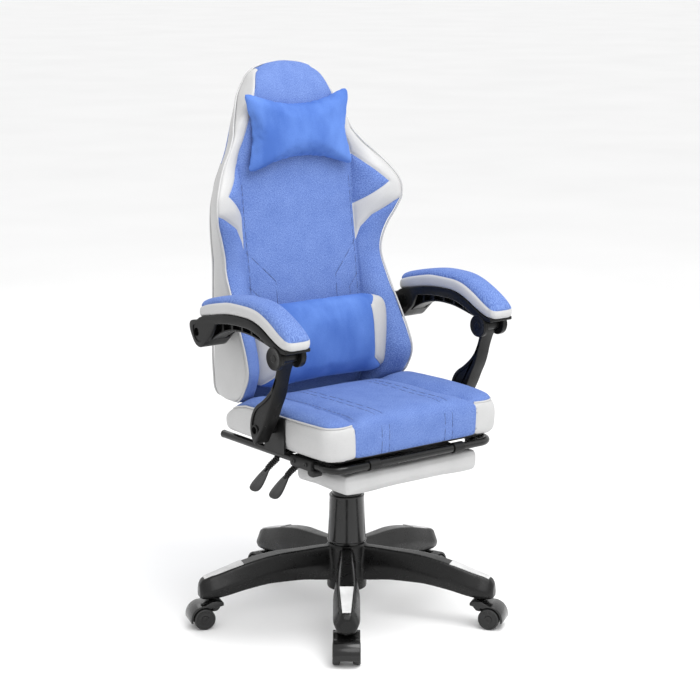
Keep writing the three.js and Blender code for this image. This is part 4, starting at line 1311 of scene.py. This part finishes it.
def build_arm_pads(look, sizes):
    """The arm pads: woven tops on a leatherette band, with a sewn edge all the way round."""
    nose, heel = [-214, -213, -211, -208, -204], [121, 125, 128, 130, 131]
    depth = np.concatenate([nose, np.arange(-199, 118, 5), heel])
    rows = []
    for y, (half, low, high) in zip(depth, between(PAD, depth)):
        soft = min(13, (high - low) * 0.4)
        ring = section(half - 13, half, half - 2, high, (high + low) / 2 + 4, low, soft, 6)
        rows.append(np.column_stack([ARM_X + ring[:, 0], np.full(len(ring), y), ring[:, 1]]))
    piece = skin("arm_pad_cover", capped(rows))
    modify(piece, "REMESH", mode="VOXEL", voxel_size=0.003)
    modify(piece, "SMOOTH", factor=0.5, iterations=4)
    along = np.concatenate([[-238, -222], np.linspace(-208, 126, 26), [148]])
    line = np.column_stack([along, between(PAD_SEAM, along)[:, 0]])
    seam_cut(piece, [tuple(p) for p in line], "yz", 1)

    def finishes(middle, normal):
        above = middle[:, 2] > np.interp(middle[:, 1], along, line[:, 1])
        return np.where(above & (normal[:, 2] > -0.4), 0, 1)

    zone(piece, finishes)
    tree = over(piece)
    seams = []
    for side in (1, -1):
        path = [(ARM_X + side * 200, y, z) for y, z in line if -206 < y < 128]
        seams.append(laid_seam(tree, path, (-side, 0, 0)))
    for y_from, towards, z in ((-500, 1, 714), (400, -1, 741)):
        path = [(ARM_X + x, y_from, z) for x in (-20, 0, 20)]
        seams.append(laid_seam(tree, path, (0, towards, 0)))
    seams = [seam for seam in seams if len(seam)]
    quilt(piece, seams, 2.0, 9, 1.6, 2.4)
    points, normal = mesh_points(piece)
    push(piece, points + normal * uneven(points, 40, 0.6)[:, None])
    chart_cloth(piece, lambda p: np.column_stack([p[:, 0], p[:, 1] - p[:, 2] * (p[:, 1] < -120) * 0.5]))
    dress(piece, MATERIALS["weave"], MATERIALS["white"])
    smooth(piece, 180)
    for made in both_arms(piece, "arm_pad_cover", "armrest", "white_leatherette", "arm_pad"):
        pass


# ---------------------------------------------------------------- footrest
def build_footrest_frame(look, sizes):
    """The bent footrest tube with end plugs, and its sleeves under the seat."""
    half, front, rear, bend, height = 225, -249, 169, 36, 428
    turn = np.radians(np.linspace(180, 270, 14))
    left = [(-half, rear, height)]
    left += [(-half + bend + bend * math.cos(a), front + bend + bend * math.sin(a), height) for a in turn]
    right = [(-x, y, z) for x, y, z in reversed(left)]
    piece = tube("footrest_rail", place(left + right), 9, around=7)
    plugs = []
    for side in (1, -1):
        dome = [(-2, 0), (-2, 9.25), (1.6, 9.25), (3.2, 8), (4, 5), (4.2, 0)]
        plugs.append(turned_part("plug", dome, mm(side * half, rear, height), (0, 1, 0), 40))
    join(piece, *plugs)
    smooth(piece, 40)
    finish(piece, "footrest", "black_steel", "footrest_tube", material=MATERIALS["coat"])
    for hand, side in SIDES:
        ring = section(11, 16, 14, 440, 431, 414.4, 6, 5)
        rows = []
        for y, s in ((-182, 0.9), (-180, 0.97), (-176, 1), (-112, 1), (-108, 0.97), (-106, 0.9)):
            height = (ring[:, 1] - 427) * s + 427
            rows.append(np.column_stack([ring[:, 0] * s, np.full(len(ring), y), height]))
        sleeve = skin("sleeve", capped(rows, (0.7, 0.0)))
        hook = [(-190, 406), (-186, 404), (-168, 405), (-166, 418), (-176, 420), (-191, 418)]
        weld(sleeve, slab("hook", eased(hook, 2), -12, 12, 1.5))
        head = [(0, 0), (0, 5.5), (1.6, 5.5), (2.4, 4.4), (2.4, 2.4), (1.2, 2.2), (1.2, 0)]
        for spot in (-166, -122):
            join(sleeve, turned_part("bolt", head, mm(16, spot, 429), (1, 0, 0), 24))
        sideways = Matrix.Translation((side * half / 1000, 0, 0))
        sleeve.data.transform(sideways if side > 0 else sideways @ across())
        if side < 0:
            sleeve.data.flip_normals()
        sleeve.name = f"footrest_sleeve_{hand}"
        smooth(sleeve, 35)
        finish(sleeve, "seat", "black_nylon", f"footrest_guide_{hand}", material=MATERIALS["grained"])


def build_footrest_pad(look, sizes):
    """The footrest pad, lightly stuffed, drawn in along its top and bottom seams."""
    rows = []
    front, rear = -240, -59
    ends = ((0, 0.0), (0.5, 0.6), (2, 0.86), (5, 0.97), (10, 1.0))
    depth = [(front + step, s) for step, s in ends]
    depth += [(y, 1.0) for y in np.arange(front + 24, rear - 20, 14)]
    depth += [(rear - step, s) for step, s in reversed(ends)]
    for y, s in depth:
        half = 176 + 13 * s
        ring = section(half - 1, half, half - 2, 409, 387, 364, 8, 6)
        height = (ring[:, 1] - 387) * (0.8 + 0.2 * s) + 387
        rows.append(np.column_stack([ring[:, 0], np.full(len(ring), y), height]))
    piece = skin("footrest_pad_cover", capped(rows))
    inflate(piece, 4.6, 2.0, pressure=1.2)
    modify(piece, "SMOOTH", factor=0.5, iterations=2)
    points, normal = mesh_points(piece)
    upright = np.abs(normal[:, 2]) < 0.75
    top = np.exp(-(((points[:, 2] - 403) / 3.0) ** 2)) * upright
    low = np.exp(-(((points[:, 2] - 370) / 3.0) ** 2)) * upright
    swell = uneven(points, 46, 1.0) - 1.5 * top - 1.0 * low
    points += normal * swell[:, None]
    points[:, 2] = np.minimum(points[:, 2], 410.9)
    push(piece, points)
    modify(piece, "SUBSURF", levels=1, render_levels=1)
    smooth(piece, 180)
    finish(piece, "footrest_flap", "white_leatherette", "footrest_pad", material=MATERIALS["white"])


# ---------------------------------------------------------------- base and castors
ARM_SHAPE = [
    [20, 165, 124, 84, 13, 19, 16], [45, 165, 124, 84, 12.5, 19, 16], [110, 162, 122, 90, 14, 22, 17],
    [178, 158, 118, 91, 17, 27, 20], [245, 145, 108, 83, 18, 31, 22], [310, 125.2, 92, 70, 15, 31, 22],
    [340, 116, 85, 68.5, 12.5, 27, 20], [350, 110, 82, 69, 10.5, 22, 17], [355, 101, 80, 71, 7, 14, 11],
]


def along_arm(radial, sideways, height):
    """A point on the first arm of the base."""
    cos, sin = math.cos(FIRST_ARM), math.sin(FIRST_ARM)
    return np.column_stack([radial * cos - sideways * sin, radial * sin + sideways * cos, height])


def build_base(look, sizes):
    """The five-armed base, moulded in one, with a pale insert let into the end of each arm."""
    reach = np.concatenate([np.arange(20, 345, 6), [347, 350, 352.5, 354, 355]])
    rows = []
    for r, (top, middle, low, half_top, half_middle, half_low) in zip(reach, between(ARM_SHAPE, reach)):
        ring = section(half_top, half_middle, half_low, top, middle, low, 3.5, 4)
        rows.append(along_arm(np.full(len(ring), r), ring[:, 0], ring[:, 1]))
    arm = skin("arm", capped(rows, (0.6, 0.0)))
    arms = [copy(arm, "arm", turned(ARM_TURN * k)) for k in range(1, 5)]
    hub_profile = [(60, 0), (60, 43), (63, 46), (120, 47), (160, 46.5), (168, 45.5), (171, 43), (171, 0)]
    hub = turned_part("star_base_moulding", hub_profile, mm(0, 0, 0), (0, 0, 1), 96)
    join(hub, arm, *arms)
    modify(hub, "REMESH", mode="VOXEL", voxel_size=0.0023)
    modify(hub, "SMOOTH", factor=0.5, iterations=5)
    smooth(hub, 180)
    finish(hub, "base", "black_nylon", "star_base", material=MATERIALS["base"])
    shape = evenly([(252, -15.6), (252, 15.6), (343, 9.4), (343, -9.4)], 92, closed=True)
    middle = shape.mean(0)
    plate = []
    steps = ((1.0, -0.9), (1.0, 1.3), (0.985, 1.8), (0.95, 2.1), (0.9, 2.15), (0.88, 1.7), (0.5, 1.7))
    for inset, lift in steps:
        flat = middle + (shape - middle) * inset
        plate.append(along_arm(flat[:, 0], flat[:, 1], 145 - (flat[:, 0] - 245) * 0.3039 + lift))
    insert = skin("arm_insert_plate_1", capped(plate, (0.4, 0.0)))
    smooth(insert, 40)
    for k in range(1, 6):
        made = insert if k == 1 else copy(insert, f"arm_insert_plate_{k}", turned(ARM_TURN * (k - 1)))
        finish(made, "base", "pale_grey_plastic", f"arm_insert_{k}", material=MATERIALS["pale"])


def build_castors(look, sizes):
    """Five twin-wheel castors: hood, web and boss in one moulding, and two dished wheels with treads."""
    stem = centre_of("castor_stem_1")
    wheel = (centre_of("castor_wheel_1a") + centre_of("castor_wheel_1b")) / 2
    trail = Vector((wheel.x - stem.x, wheel.y - stem.y))
    reach, height = trail.length * 1000, wheel.z * 1000
    heading = math.atan2(trail.y, trail.x)
    local = Matrix.Translation((stem.x, stem.y, 0)) @ Matrix.Rotation(heading, 4, "Z")
    local = local @ Matrix.Translation((-COLUMN.x, -COLUMN.y, 0))

    def arc(radius, start, end, count):
        turn = np.radians(np.linspace(start, end, count))
        return [(reach + radius * math.cos(a), height + radius * math.sin(a)) for a in turn]

    outer = arc(32.4, -14, 92, 26) + [(10, 64.5), (-4, 65.4), (-15, 64), (-18.5, 60), (-18.5, 54), (-10, 52)]
    hood = slab("hood", outer + arc(27.4, 118, -14, 26), -30, 30, 1.6, plane="xz")
    inner = arc(11, -100, 60, 12) + [(18, 50), (14, 60), (-14, 60), (-14, 44), (-8, 38), (6, 36)]
    web = slab("web", inner, -12.4, 12.4, 1.2, plane="xz")
    boss_profile = [(36.6, 5.2), (36.6, 12), (38, 13), (58, 15), (64, 15), (66, 13), (66, 5.2)]
    boss = turned_part("boss", boss_profile, mm(0, 0, 0), (0, 0, 1), 48, closed=True)
    weld(hood, web, boss)
    smooth(hood, 34)
    disc = [
        (13.6, 0), (13.6, 21), (14.6, 23.6), (16.4, 24.66), (28, 24.66), (29.8, 24), (30.8, 22.4), (30.8, 21),
        (29.4, 20.4), (29.0, 19), (28.6, 10), (29.2, 8.6), (30.4, 8), (30.4, 3.4), (29.4, 3), (29.4, 0),
    ]
    axle = mm(reach, 0, height)
    hub = Vector(axle)
    wheels = []
    for letter, side in (("a", 1), ("b", -1)):
        profile = [(side * along, radius) for along, radius in disc]
        made = turned_part(f"wheel_{letter}", profile, axle, (0, 1, 0), 72)
        for face in made.data.polygons:
            offset = face.center - hub
            face.material_index = 0 if math.hypot(offset.x, offset.z) > 0.0206 else 1
        dress(made, MATERIALS["tread"], MATERIALS["gloss"])
        smooth(made, 34)
        wheels.append((letter, made))
    for k in range(1, 6):
        here = turned(ARM_TURN * (k - 1)) @ local
        made = copy(hood, f"castor_fork_{k}", here)
        finish(made, f"castor_{k}", "black_nylon", f"castor_hood_{k}", material=MATERIALS["gloss"])
        for letter, wheel_piece in wheels:
            made = copy(wheel_piece, f"castor_wheel_disc_{k}{letter}", here)
            middle = sum((v.co for v in made.data.vertices), Vector()) / len(made.data.vertices)
            nodes = (f"castor_wheel_{k}a", f"castor_wheel_{k}b")
            node_name = min(nodes, key=lambda name: (centre_of(name) - middle).length)
            finish(made, f"wheels_{k}", "black_nylon", node_name)
    for piece in (hood, *[w for _, w in wheels]):
        bpy.data.objects.remove(piece)


def build_covers(look, sizes):
    """Three telescopic covers over the gas spring; the lowest has a rolled lip."""
    for name, body, node_name, low, high, outer_low, outer_high, inner in (
        ("lower_cover", "base", "cover_lower", 171.3, 285, 44, 40, 35),
        ("middle_cover", "cover_stage", "cover_middle", 213, 328, 34, 34, 31),
        ("upper_cover", "lift", "cover_upper", 292, 371.7, 29.5, 29.5, 26.6),
    ):
        if body == "base":
            profile = [
                (low, inner), (low, outer_low + 1.2), (low + 1, outer_low + 1.8), (low + 4, outer_low + 1.8),
                (low + 5.4, outer_low), (high - 6, outer_high + 0.1), (high - 4.6, outer_high + 0.8),
                (high - 1.4, outer_high + 0.8), (high, outer_high - 0.6), (high, inner),
            ]
        else:
            profile = [
                (low, inner), (low, outer_low - 0.4), (low + 1, outer_low), (high - 1.2, outer_high),
                (high, outer_high - 0.8), (high, inner),
            ]
        piece = turned_part(name, profile, mm(0, 0, 0), (0, 0, 1), 96, closed=True)
        smooth(piece, 34)
        finish(piece, body, "black_nylon", node_name, material=MATERIALS["gloss"])


# ---------------------------------------------------------------- levers
def build_levers(look, sizes):
    """Two levers: a coated rod, ribbed bellows and a paddle grip."""
    bend = [
        (-78, 421), (-150, 421), (-192, 421), (-203, 414), (-212, 404), (-224, 398), (-238, 390), (-246, 384),
    ]
    # Along the grip: across the chair, shift to the front, height, half width and half thickness.
    grip = np.array([
        [-236, -3, 391.5, 7.5, 6.5], [-241, -4, 387.5, 9.5, 7.6], [-248, -5.5, 382, 12.5, 8.6],
        [-257, -8, 375, 16, 9.2], [-267, -11, 367, 19, 9.2], [-276, -13.5, 360, 20.5, 8.6],
        [-282, -15, 355.4, 19, 7.4], [-285, -16, 353, 14, 5.4],
    ])
    for name, y in (("recline", -18), ("height", -92)):
        path = eased([(x, y - max(0, (-224 - x)) * 0.2, z) for x, z in bend], 2, closed=False)
        rod = tube("rod", place(path), 4, around=5)
        core = evenly([(-209, y, 408), (-218, y, 401.5), (-227, y - 0.5, 396.5), (-240, y - 3, 388.5)], 43)
        rings = []
        run = (core[-1] - core[0]) / np.linalg.norm(core[-1] - core[0])
        side = np.array([0, 1.0, 0])
        up = np.cross(run, side)
        for i, spot in enumerate(core):
            size = (8.2 - 0.8 * i / 42) * (1 - 0.2 * (0.5 + 0.5 * math.cos(i * math.tau / 6)))
            turn = np.linspace(0, math.tau, 24, endpoint=False)[:, None]
            rings.append(spot + (side * np.cos(turn) + up * np.sin(turn)) * size)
        bellows = skin("bellows", capped(rings, (0.7, 0.0)))
        rod = join(rod, bellows)
        rod.name = f"{name}_lever_stem"
        smooth(rod, 60)
        finish(rod, f"{name}_lever", "black_steel", f"{name}_lever_rod", material=MATERIALS["coat"])
        t = np.linspace(0, 1, len(grip))
        fine = between(np.column_stack([t, grip]), np.linspace(0, 1, 44))
        rings = []
        for x, shift, z, half, thick in fine:
            turn = np.linspace(0, math.tau, 32, endpoint=False)
            a = half * np.sign(np.cos(turn)) * np.abs(np.cos(turn)) ** 0.8
            b = thick * np.sign(np.sin(turn)) * np.abs(np.sin(turn)) ** 0.8
            b = np.where(b > 0, b * (1 - 0.22 * np.exp(-((a / half) ** 2) * 3)), b)
            rings.append(np.column_stack([x + b * 0.62, y + shift + a, z + b * 0.78]))
        paddle = skin(f"{name}_lever_paddle", capped(rings, (0.85, 0.5, 0.0)))
        smooth(paddle, 180)
        finish(paddle, f"{name}_lever", "black_nylon", f"{name}_lever_grip", material=MATERIALS["gloss"])


# ---------------------------------------------------------------- metalwork kept from the frame
KEPT = {
    "steel": [
        "gas_rod", "recline_pin", "front_pin_left", "front_pin_right", "foot_bolt_left", "foot_bolt_right",
    ]
    + [f"castor_stem_{k}" for k in range(1, 6)],
    "coat": ["rear_pin_left", "rear_pin_right", "gas_cylinder"],
    "pressed": ["tilt_mechanism", "seat_pan", "back_bracket", "footrest_board"],
}


def build_metalwork(look, sizes):
    """Finishes for the metal parts that keep their own shape."""
    for finish_name, nodes in KEPT.items():
        for name in nodes:
            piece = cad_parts[name]
            piece.data.materials.clear()
            piece.data.materials.append(MATERIALS[finish_name])


# ---------------------------------------------------------------- studio
def build_stage(look, sizes):
    """A pale floor, soft lights and the camera."""
    settle()
    bpy.ops.mesh.primitive_circle_add(vertices=96, radius=40, fill_type="NGON", location=(0, 0, -0.0005))
    floor = bpy.context.object
    floor.name = "studio_floor"
    made, tree = blank("pale studio floor, painted")
    spot = node(tree, "TexCoord").outputs["Object"]
    cloud = speckle(tree, spot, 900, 2.0)
    surface(made, ramp(tree, cloud, (0.3, grey(0.90)), (0.7, grey(0.93))), 0.7)
    floor.data.materials.append(made)
    world = bpy.data.worlds.new("soft white room")
    bpy.context.scene.world = world
    world.use_nodes = True
    world.node_tree.nodes["Background"].inputs["Color"].default_value = (1, 1, 1, 1)
    world.node_tree.nodes["Background"].inputs["Strength"].default_value = look.room
    for name, spot, aim, size, power in (
        ("key", (-1.6, -3.2, 3.2), (0, 0, 0.7), 2.4, look.key),
        ("fill", (3.2, -2.0, 1.8), (0, 0, 0.7), 2.6, look.key * 0.32),
        ("rim", (0.6, 3.0, 2.9), (0, 0, 0.9), 2.4, look.key * 0.35),
        ("top", (0.2, -1.3, 3.0), (0, -0.1, 0.5), 1.8, look.key * 1.15),
    ):
        data = bpy.data.lights.new(name, "AREA")
        data.shape = "DISK"
        data.size = size
        data.energy = power
        lamp = bpy.data.objects.new(name, data)
        bpy.context.scene.collection.objects.link(lamp)
        lamp.location = spot
        lamp.rotation_euler = (Vector(aim) - Vector(spot)).to_track_quat("-Z", "Y").to_euler()
    data = bpy.data.cameras.new("camera")
    data.lens = 102.86
    data.sensor_width = 36
    data.clip_end = 100
    camera = bpy.data.objects.new("camera", data)
    bpy.context.scene.collection.objects.link(camera)
    camera.location = mm(-2723, -3529, 1581)
    turn, down = math.radians(-37.75), math.radians(12.12)
    forward = Vector((-math.sin(turn) * math.cos(down), math.cos(turn) * math.cos(down), -math.sin(down)))
    camera.rotation_euler = forward.to_track_quat("-Z", "Y").to_euler()
    bpy.context.scene.camera = camera
    bpy.context.scene.view_settings.view_transform = "Standard"


# ---------------------------------------------------------------- sizes and colours to change
def colour_prop(name, code, description):
    return bpy.props.FloatVectorProperty(
        name=name, description=description, subtype="COLOR", size=4, min=0, max=1, default=srgb(code)
    )


def thickness_prop(name, value, description):
    described = description + ", in millimetres"
    return bpy.props.FloatProperty(name=name, description=described, default=value, min=0.01)


class ChairLook(bpy.types.PropertyGroup):
    """Colours of the chair's finishes and the strength of its light."""

    weave_light: colour_prop("Weave, light yarn", "#6C84BA", "The paler yarn of the woven blue cloth")
    weave_dark: colour_prop("Weave, dark yarn", "#4D66A4", "The deeper yarn of the woven blue cloth")
    velour_light: colour_prop("Velour, light", "#5A7DC2", "Velour where the pile faces the light")
    velour_dark: colour_prop("Velour, dark", "#3D5FA6", "Velour where the pile turns away")
    white: colour_prop("White leatherette", "#B6B6B6", "Side bands, patches and the footrest pad")
    thread: colour_prop("Thread", "#22305C", "Stitching on the blue cloth")
    black: colour_prop("Black", "#0E0E0E", "Moulded nylon and coated steel")
    charcoal: colour_prop("Charcoal", "#191919", "Grained mouldings and pressed steel")
    pale: colour_prop("Pale grey", "#C9C9C9", "Inserts on the base")
    steel: colour_prop("Steel", "#B9BBBE", "Turned steel")
    weave_pitch: thickness_prop("Weave pitch", 1.6, "Distance between threads as drawn")
    room: bpy.props.FloatProperty(name="Room light", description="Strength of the light from all round", default=1.0)
    key: bpy.props.FloatProperty(name="Key light", description="Power of the main lamp", default=44, unit="POWER")


class ChairSizes(bpy.types.PropertyGroup):
    """Sizes of the sewn details."""

    piping: thickness_prop("Piping", 4.4, "Thickness of the piping")
    stitch: thickness_prop("Stitch", 4.2, "Length of one stitch")
    thread: thickness_prop("Thread", 1.1, "Thickness of the thread")


# ---------------------------------------------------------------- operators
def work(build, context):
    """Runs one step of the making; the finishes are mixed before the first."""
    if not MATERIALS:
        make_materials(context.scene.chair_look)
    build(context.scene.chair_look, context.scene.chair_sizes)
    return {"FINISHED"}


class ChairStage(bpy.types.Operator):
    """Sets up the floor, the lights and the camera."""

    bl_idname = "chair.stage"
    bl_label = "Studio"
    bl_options = {"REGISTER", "UNDO"}

    def execute(self, context):
        return work(build_stage, context)


class ChairBase(bpy.types.Operator):
    """Builds the five-armed base and its inserts."""

    bl_idname = "chair.base"
    bl_label = "Base"
    bl_options = {"REGISTER", "UNDO"}

    def execute(self, context):
        return work(build_base, context)


class ChairCovers(bpy.types.Operator):
    """Builds the three covers over the gas spring."""

    bl_idname = "chair.covers"
    bl_label = "Column covers"
    bl_options = {"REGISTER", "UNDO"}

    def execute(self, context):
        return work(build_covers, context)


class ChairCastors(bpy.types.Operator):
    """Builds one castor and sets out its copies."""

    bl_idname = "chair.castors"
    bl_label = "Castors"
    bl_options = {"REGISTER", "UNDO"}

    def execute(self, context):
        return work(build_castors, context)


class ChairMetalwork(bpy.types.Operator):
    """Gives the metal parts of the frame their finishes."""

    bl_idname = "chair.metalwork"
    bl_label = "Metalwork"
    bl_options = {"REGISTER", "UNDO"}

    def execute(self, context):
        return work(build_metalwork, context)


class ChairLevers(bpy.types.Operator):
    """Builds the two levers with their bellows and grips."""

    bl_idname = "chair.levers"
    bl_label = "Levers"
    bl_options = {"REGISTER", "UNDO"}

    def execute(self, context):
        return work(build_levers, context)


class ChairFootrestFrame(bpy.types.Operator):
    """Builds the footrest rail and its sleeves."""

    bl_idname = "chair.footrest_frame"
    bl_label = "Footrest rail"
    bl_options = {"REGISTER", "UNDO"}

    def execute(self, context):
        return work(build_footrest_frame, context)


class ChairFootrestPad(bpy.types.Operator):
    """Stuffs the footrest pad."""

    bl_idname = "chair.footrest_pad"
    bl_label = "Footrest pad"
    bl_options = {"REGISTER", "UNDO"}

    def execute(self, context):
        return work(build_footrest_pad, context)


class ChairArmFrames(bpy.types.Operator):
    """Builds the two arched arm frames."""

    bl_idname = "chair.arm_frames"
    bl_label = "Arm frames"
    bl_options = {"REGISTER", "UNDO"}

    def execute(self, context):
        return work(build_arm_frames, context)


class ChairArmPosts(bpy.types.Operator):
    """Builds the two curved arm posts."""

    bl_idname = "chair.arm_posts"
    bl_label = "Arm posts"
    bl_options = {"REGISTER", "UNDO"}

    def execute(self, context):
        return work(build_arm_posts, context)


class ChairArmPads(bpy.types.Operator):
    """Upholsters the two arm pads."""

    bl_idname = "chair.arm_pads"
    bl_label = "Arm pads"
    bl_options = {"REGISTER", "UNDO"}

    def execute(self, context):
        return work(build_arm_pads, context)


class ChairBackrest(bpy.types.Operator):
    """Upholsters the backrest, with its piping and stitching."""

    bl_idname = "chair.backrest"
    bl_label = "Backrest"
    bl_options = {"REGISTER", "UNDO"}

    def execute(self, context):
        return work(build_backrest, context)


class ChairHeadPillow(bpy.types.Operator):
    """Stuffs the head pillow."""

    bl_idname = "chair.head_pillow"
    bl_label = "Head pillow"
    bl_options = {"REGISTER", "UNDO"}

    def execute(self, context):
        return work(build_head_pillow, context)


class ChairLumbarPillow(bpy.types.Operator):
    """Stuffs the lumbar pillow, with its piping."""

    bl_idname = "chair.lumbar_pillow"
    bl_label = "Lumbar pillow"
    bl_options = {"REGISTER", "UNDO"}

    def execute(self, context):
        return work(build_lumbar_pillow, context)


class ChairSeat(bpy.types.Operator):
    """Upholsters the seat cushion, with its piping and stitching."""

    bl_idname = "chair.seat"
    bl_label = "Seat"
    bl_options = {"REGISTER", "UNDO"}

    def execute(self, context):
        return work(build_seat, context)


STEPS = (
    ChairStage,
    ChairBase,
    ChairCovers,
    ChairCastors,
    ChairMetalwork,
    ChairLevers,
    ChairFootrestFrame,
    ChairFootrestPad,
    ChairArmFrames,
    ChairArmPosts,
    ChairArmPads,
    ChairBackrest,
    ChairHeadPillow,
    ChairLumbarPillow,
    ChairSeat,
)


class ChairPanel(bpy.types.Panel):
    """Lists the colours, the sizes and the steps of the chair."""

    bl_idname = "VIEW3D_PT_chair"
    bl_label = "Reclining swivel chair"
    bl_space_type = "VIEW_3D"
    bl_region_type = "UI"
    bl_category = "Chair"

    def draw(self, context):
        column = self.layout.column()
        for group in (context.scene.chair_look, context.scene.chair_sizes):
            for name in group.__annotations__:
                column.prop(group, name)
        for step in STEPS:
            column.operator(step.bl_idname)


CLASSES = (ChairLook, ChairSizes, *STEPS, ChairPanel)


def register():
    for made in CLASSES:
        bpy.utils.register_class(made)
    bpy.types.Scene.chair_look = bpy.props.PointerProperty(type=ChairLook)
    bpy.types.Scene.chair_sizes = bpy.props.PointerProperty(type=ChairSizes)


def unregister():
    del bpy.types.Scene.chair_sizes
    del bpy.types.Scene.chair_look
    for made in reversed(CLASSES):
        bpy.utils.unregister_class(made)


def main():
    register()
    bpy.ops.chair.stage()
    bpy.ops.chair.base()
    bpy.ops.chair.covers()
    bpy.ops.chair.castors()
    bpy.ops.chair.metalwork()
    bpy.ops.chair.levers()
    bpy.ops.chair.footrest_frame()
    bpy.ops.chair.footrest_pad()
    bpy.ops.chair.arm_frames()
    bpy.ops.chair.arm_posts()
    bpy.ops.chair.arm_pads()
    bpy.ops.chair.backrest()
    bpy.ops.chair.head_pillow()
    bpy.ops.chair.lumbar_pillow()
    bpy.ops.chair.seat()


if __name__ == "__main__":
    main()
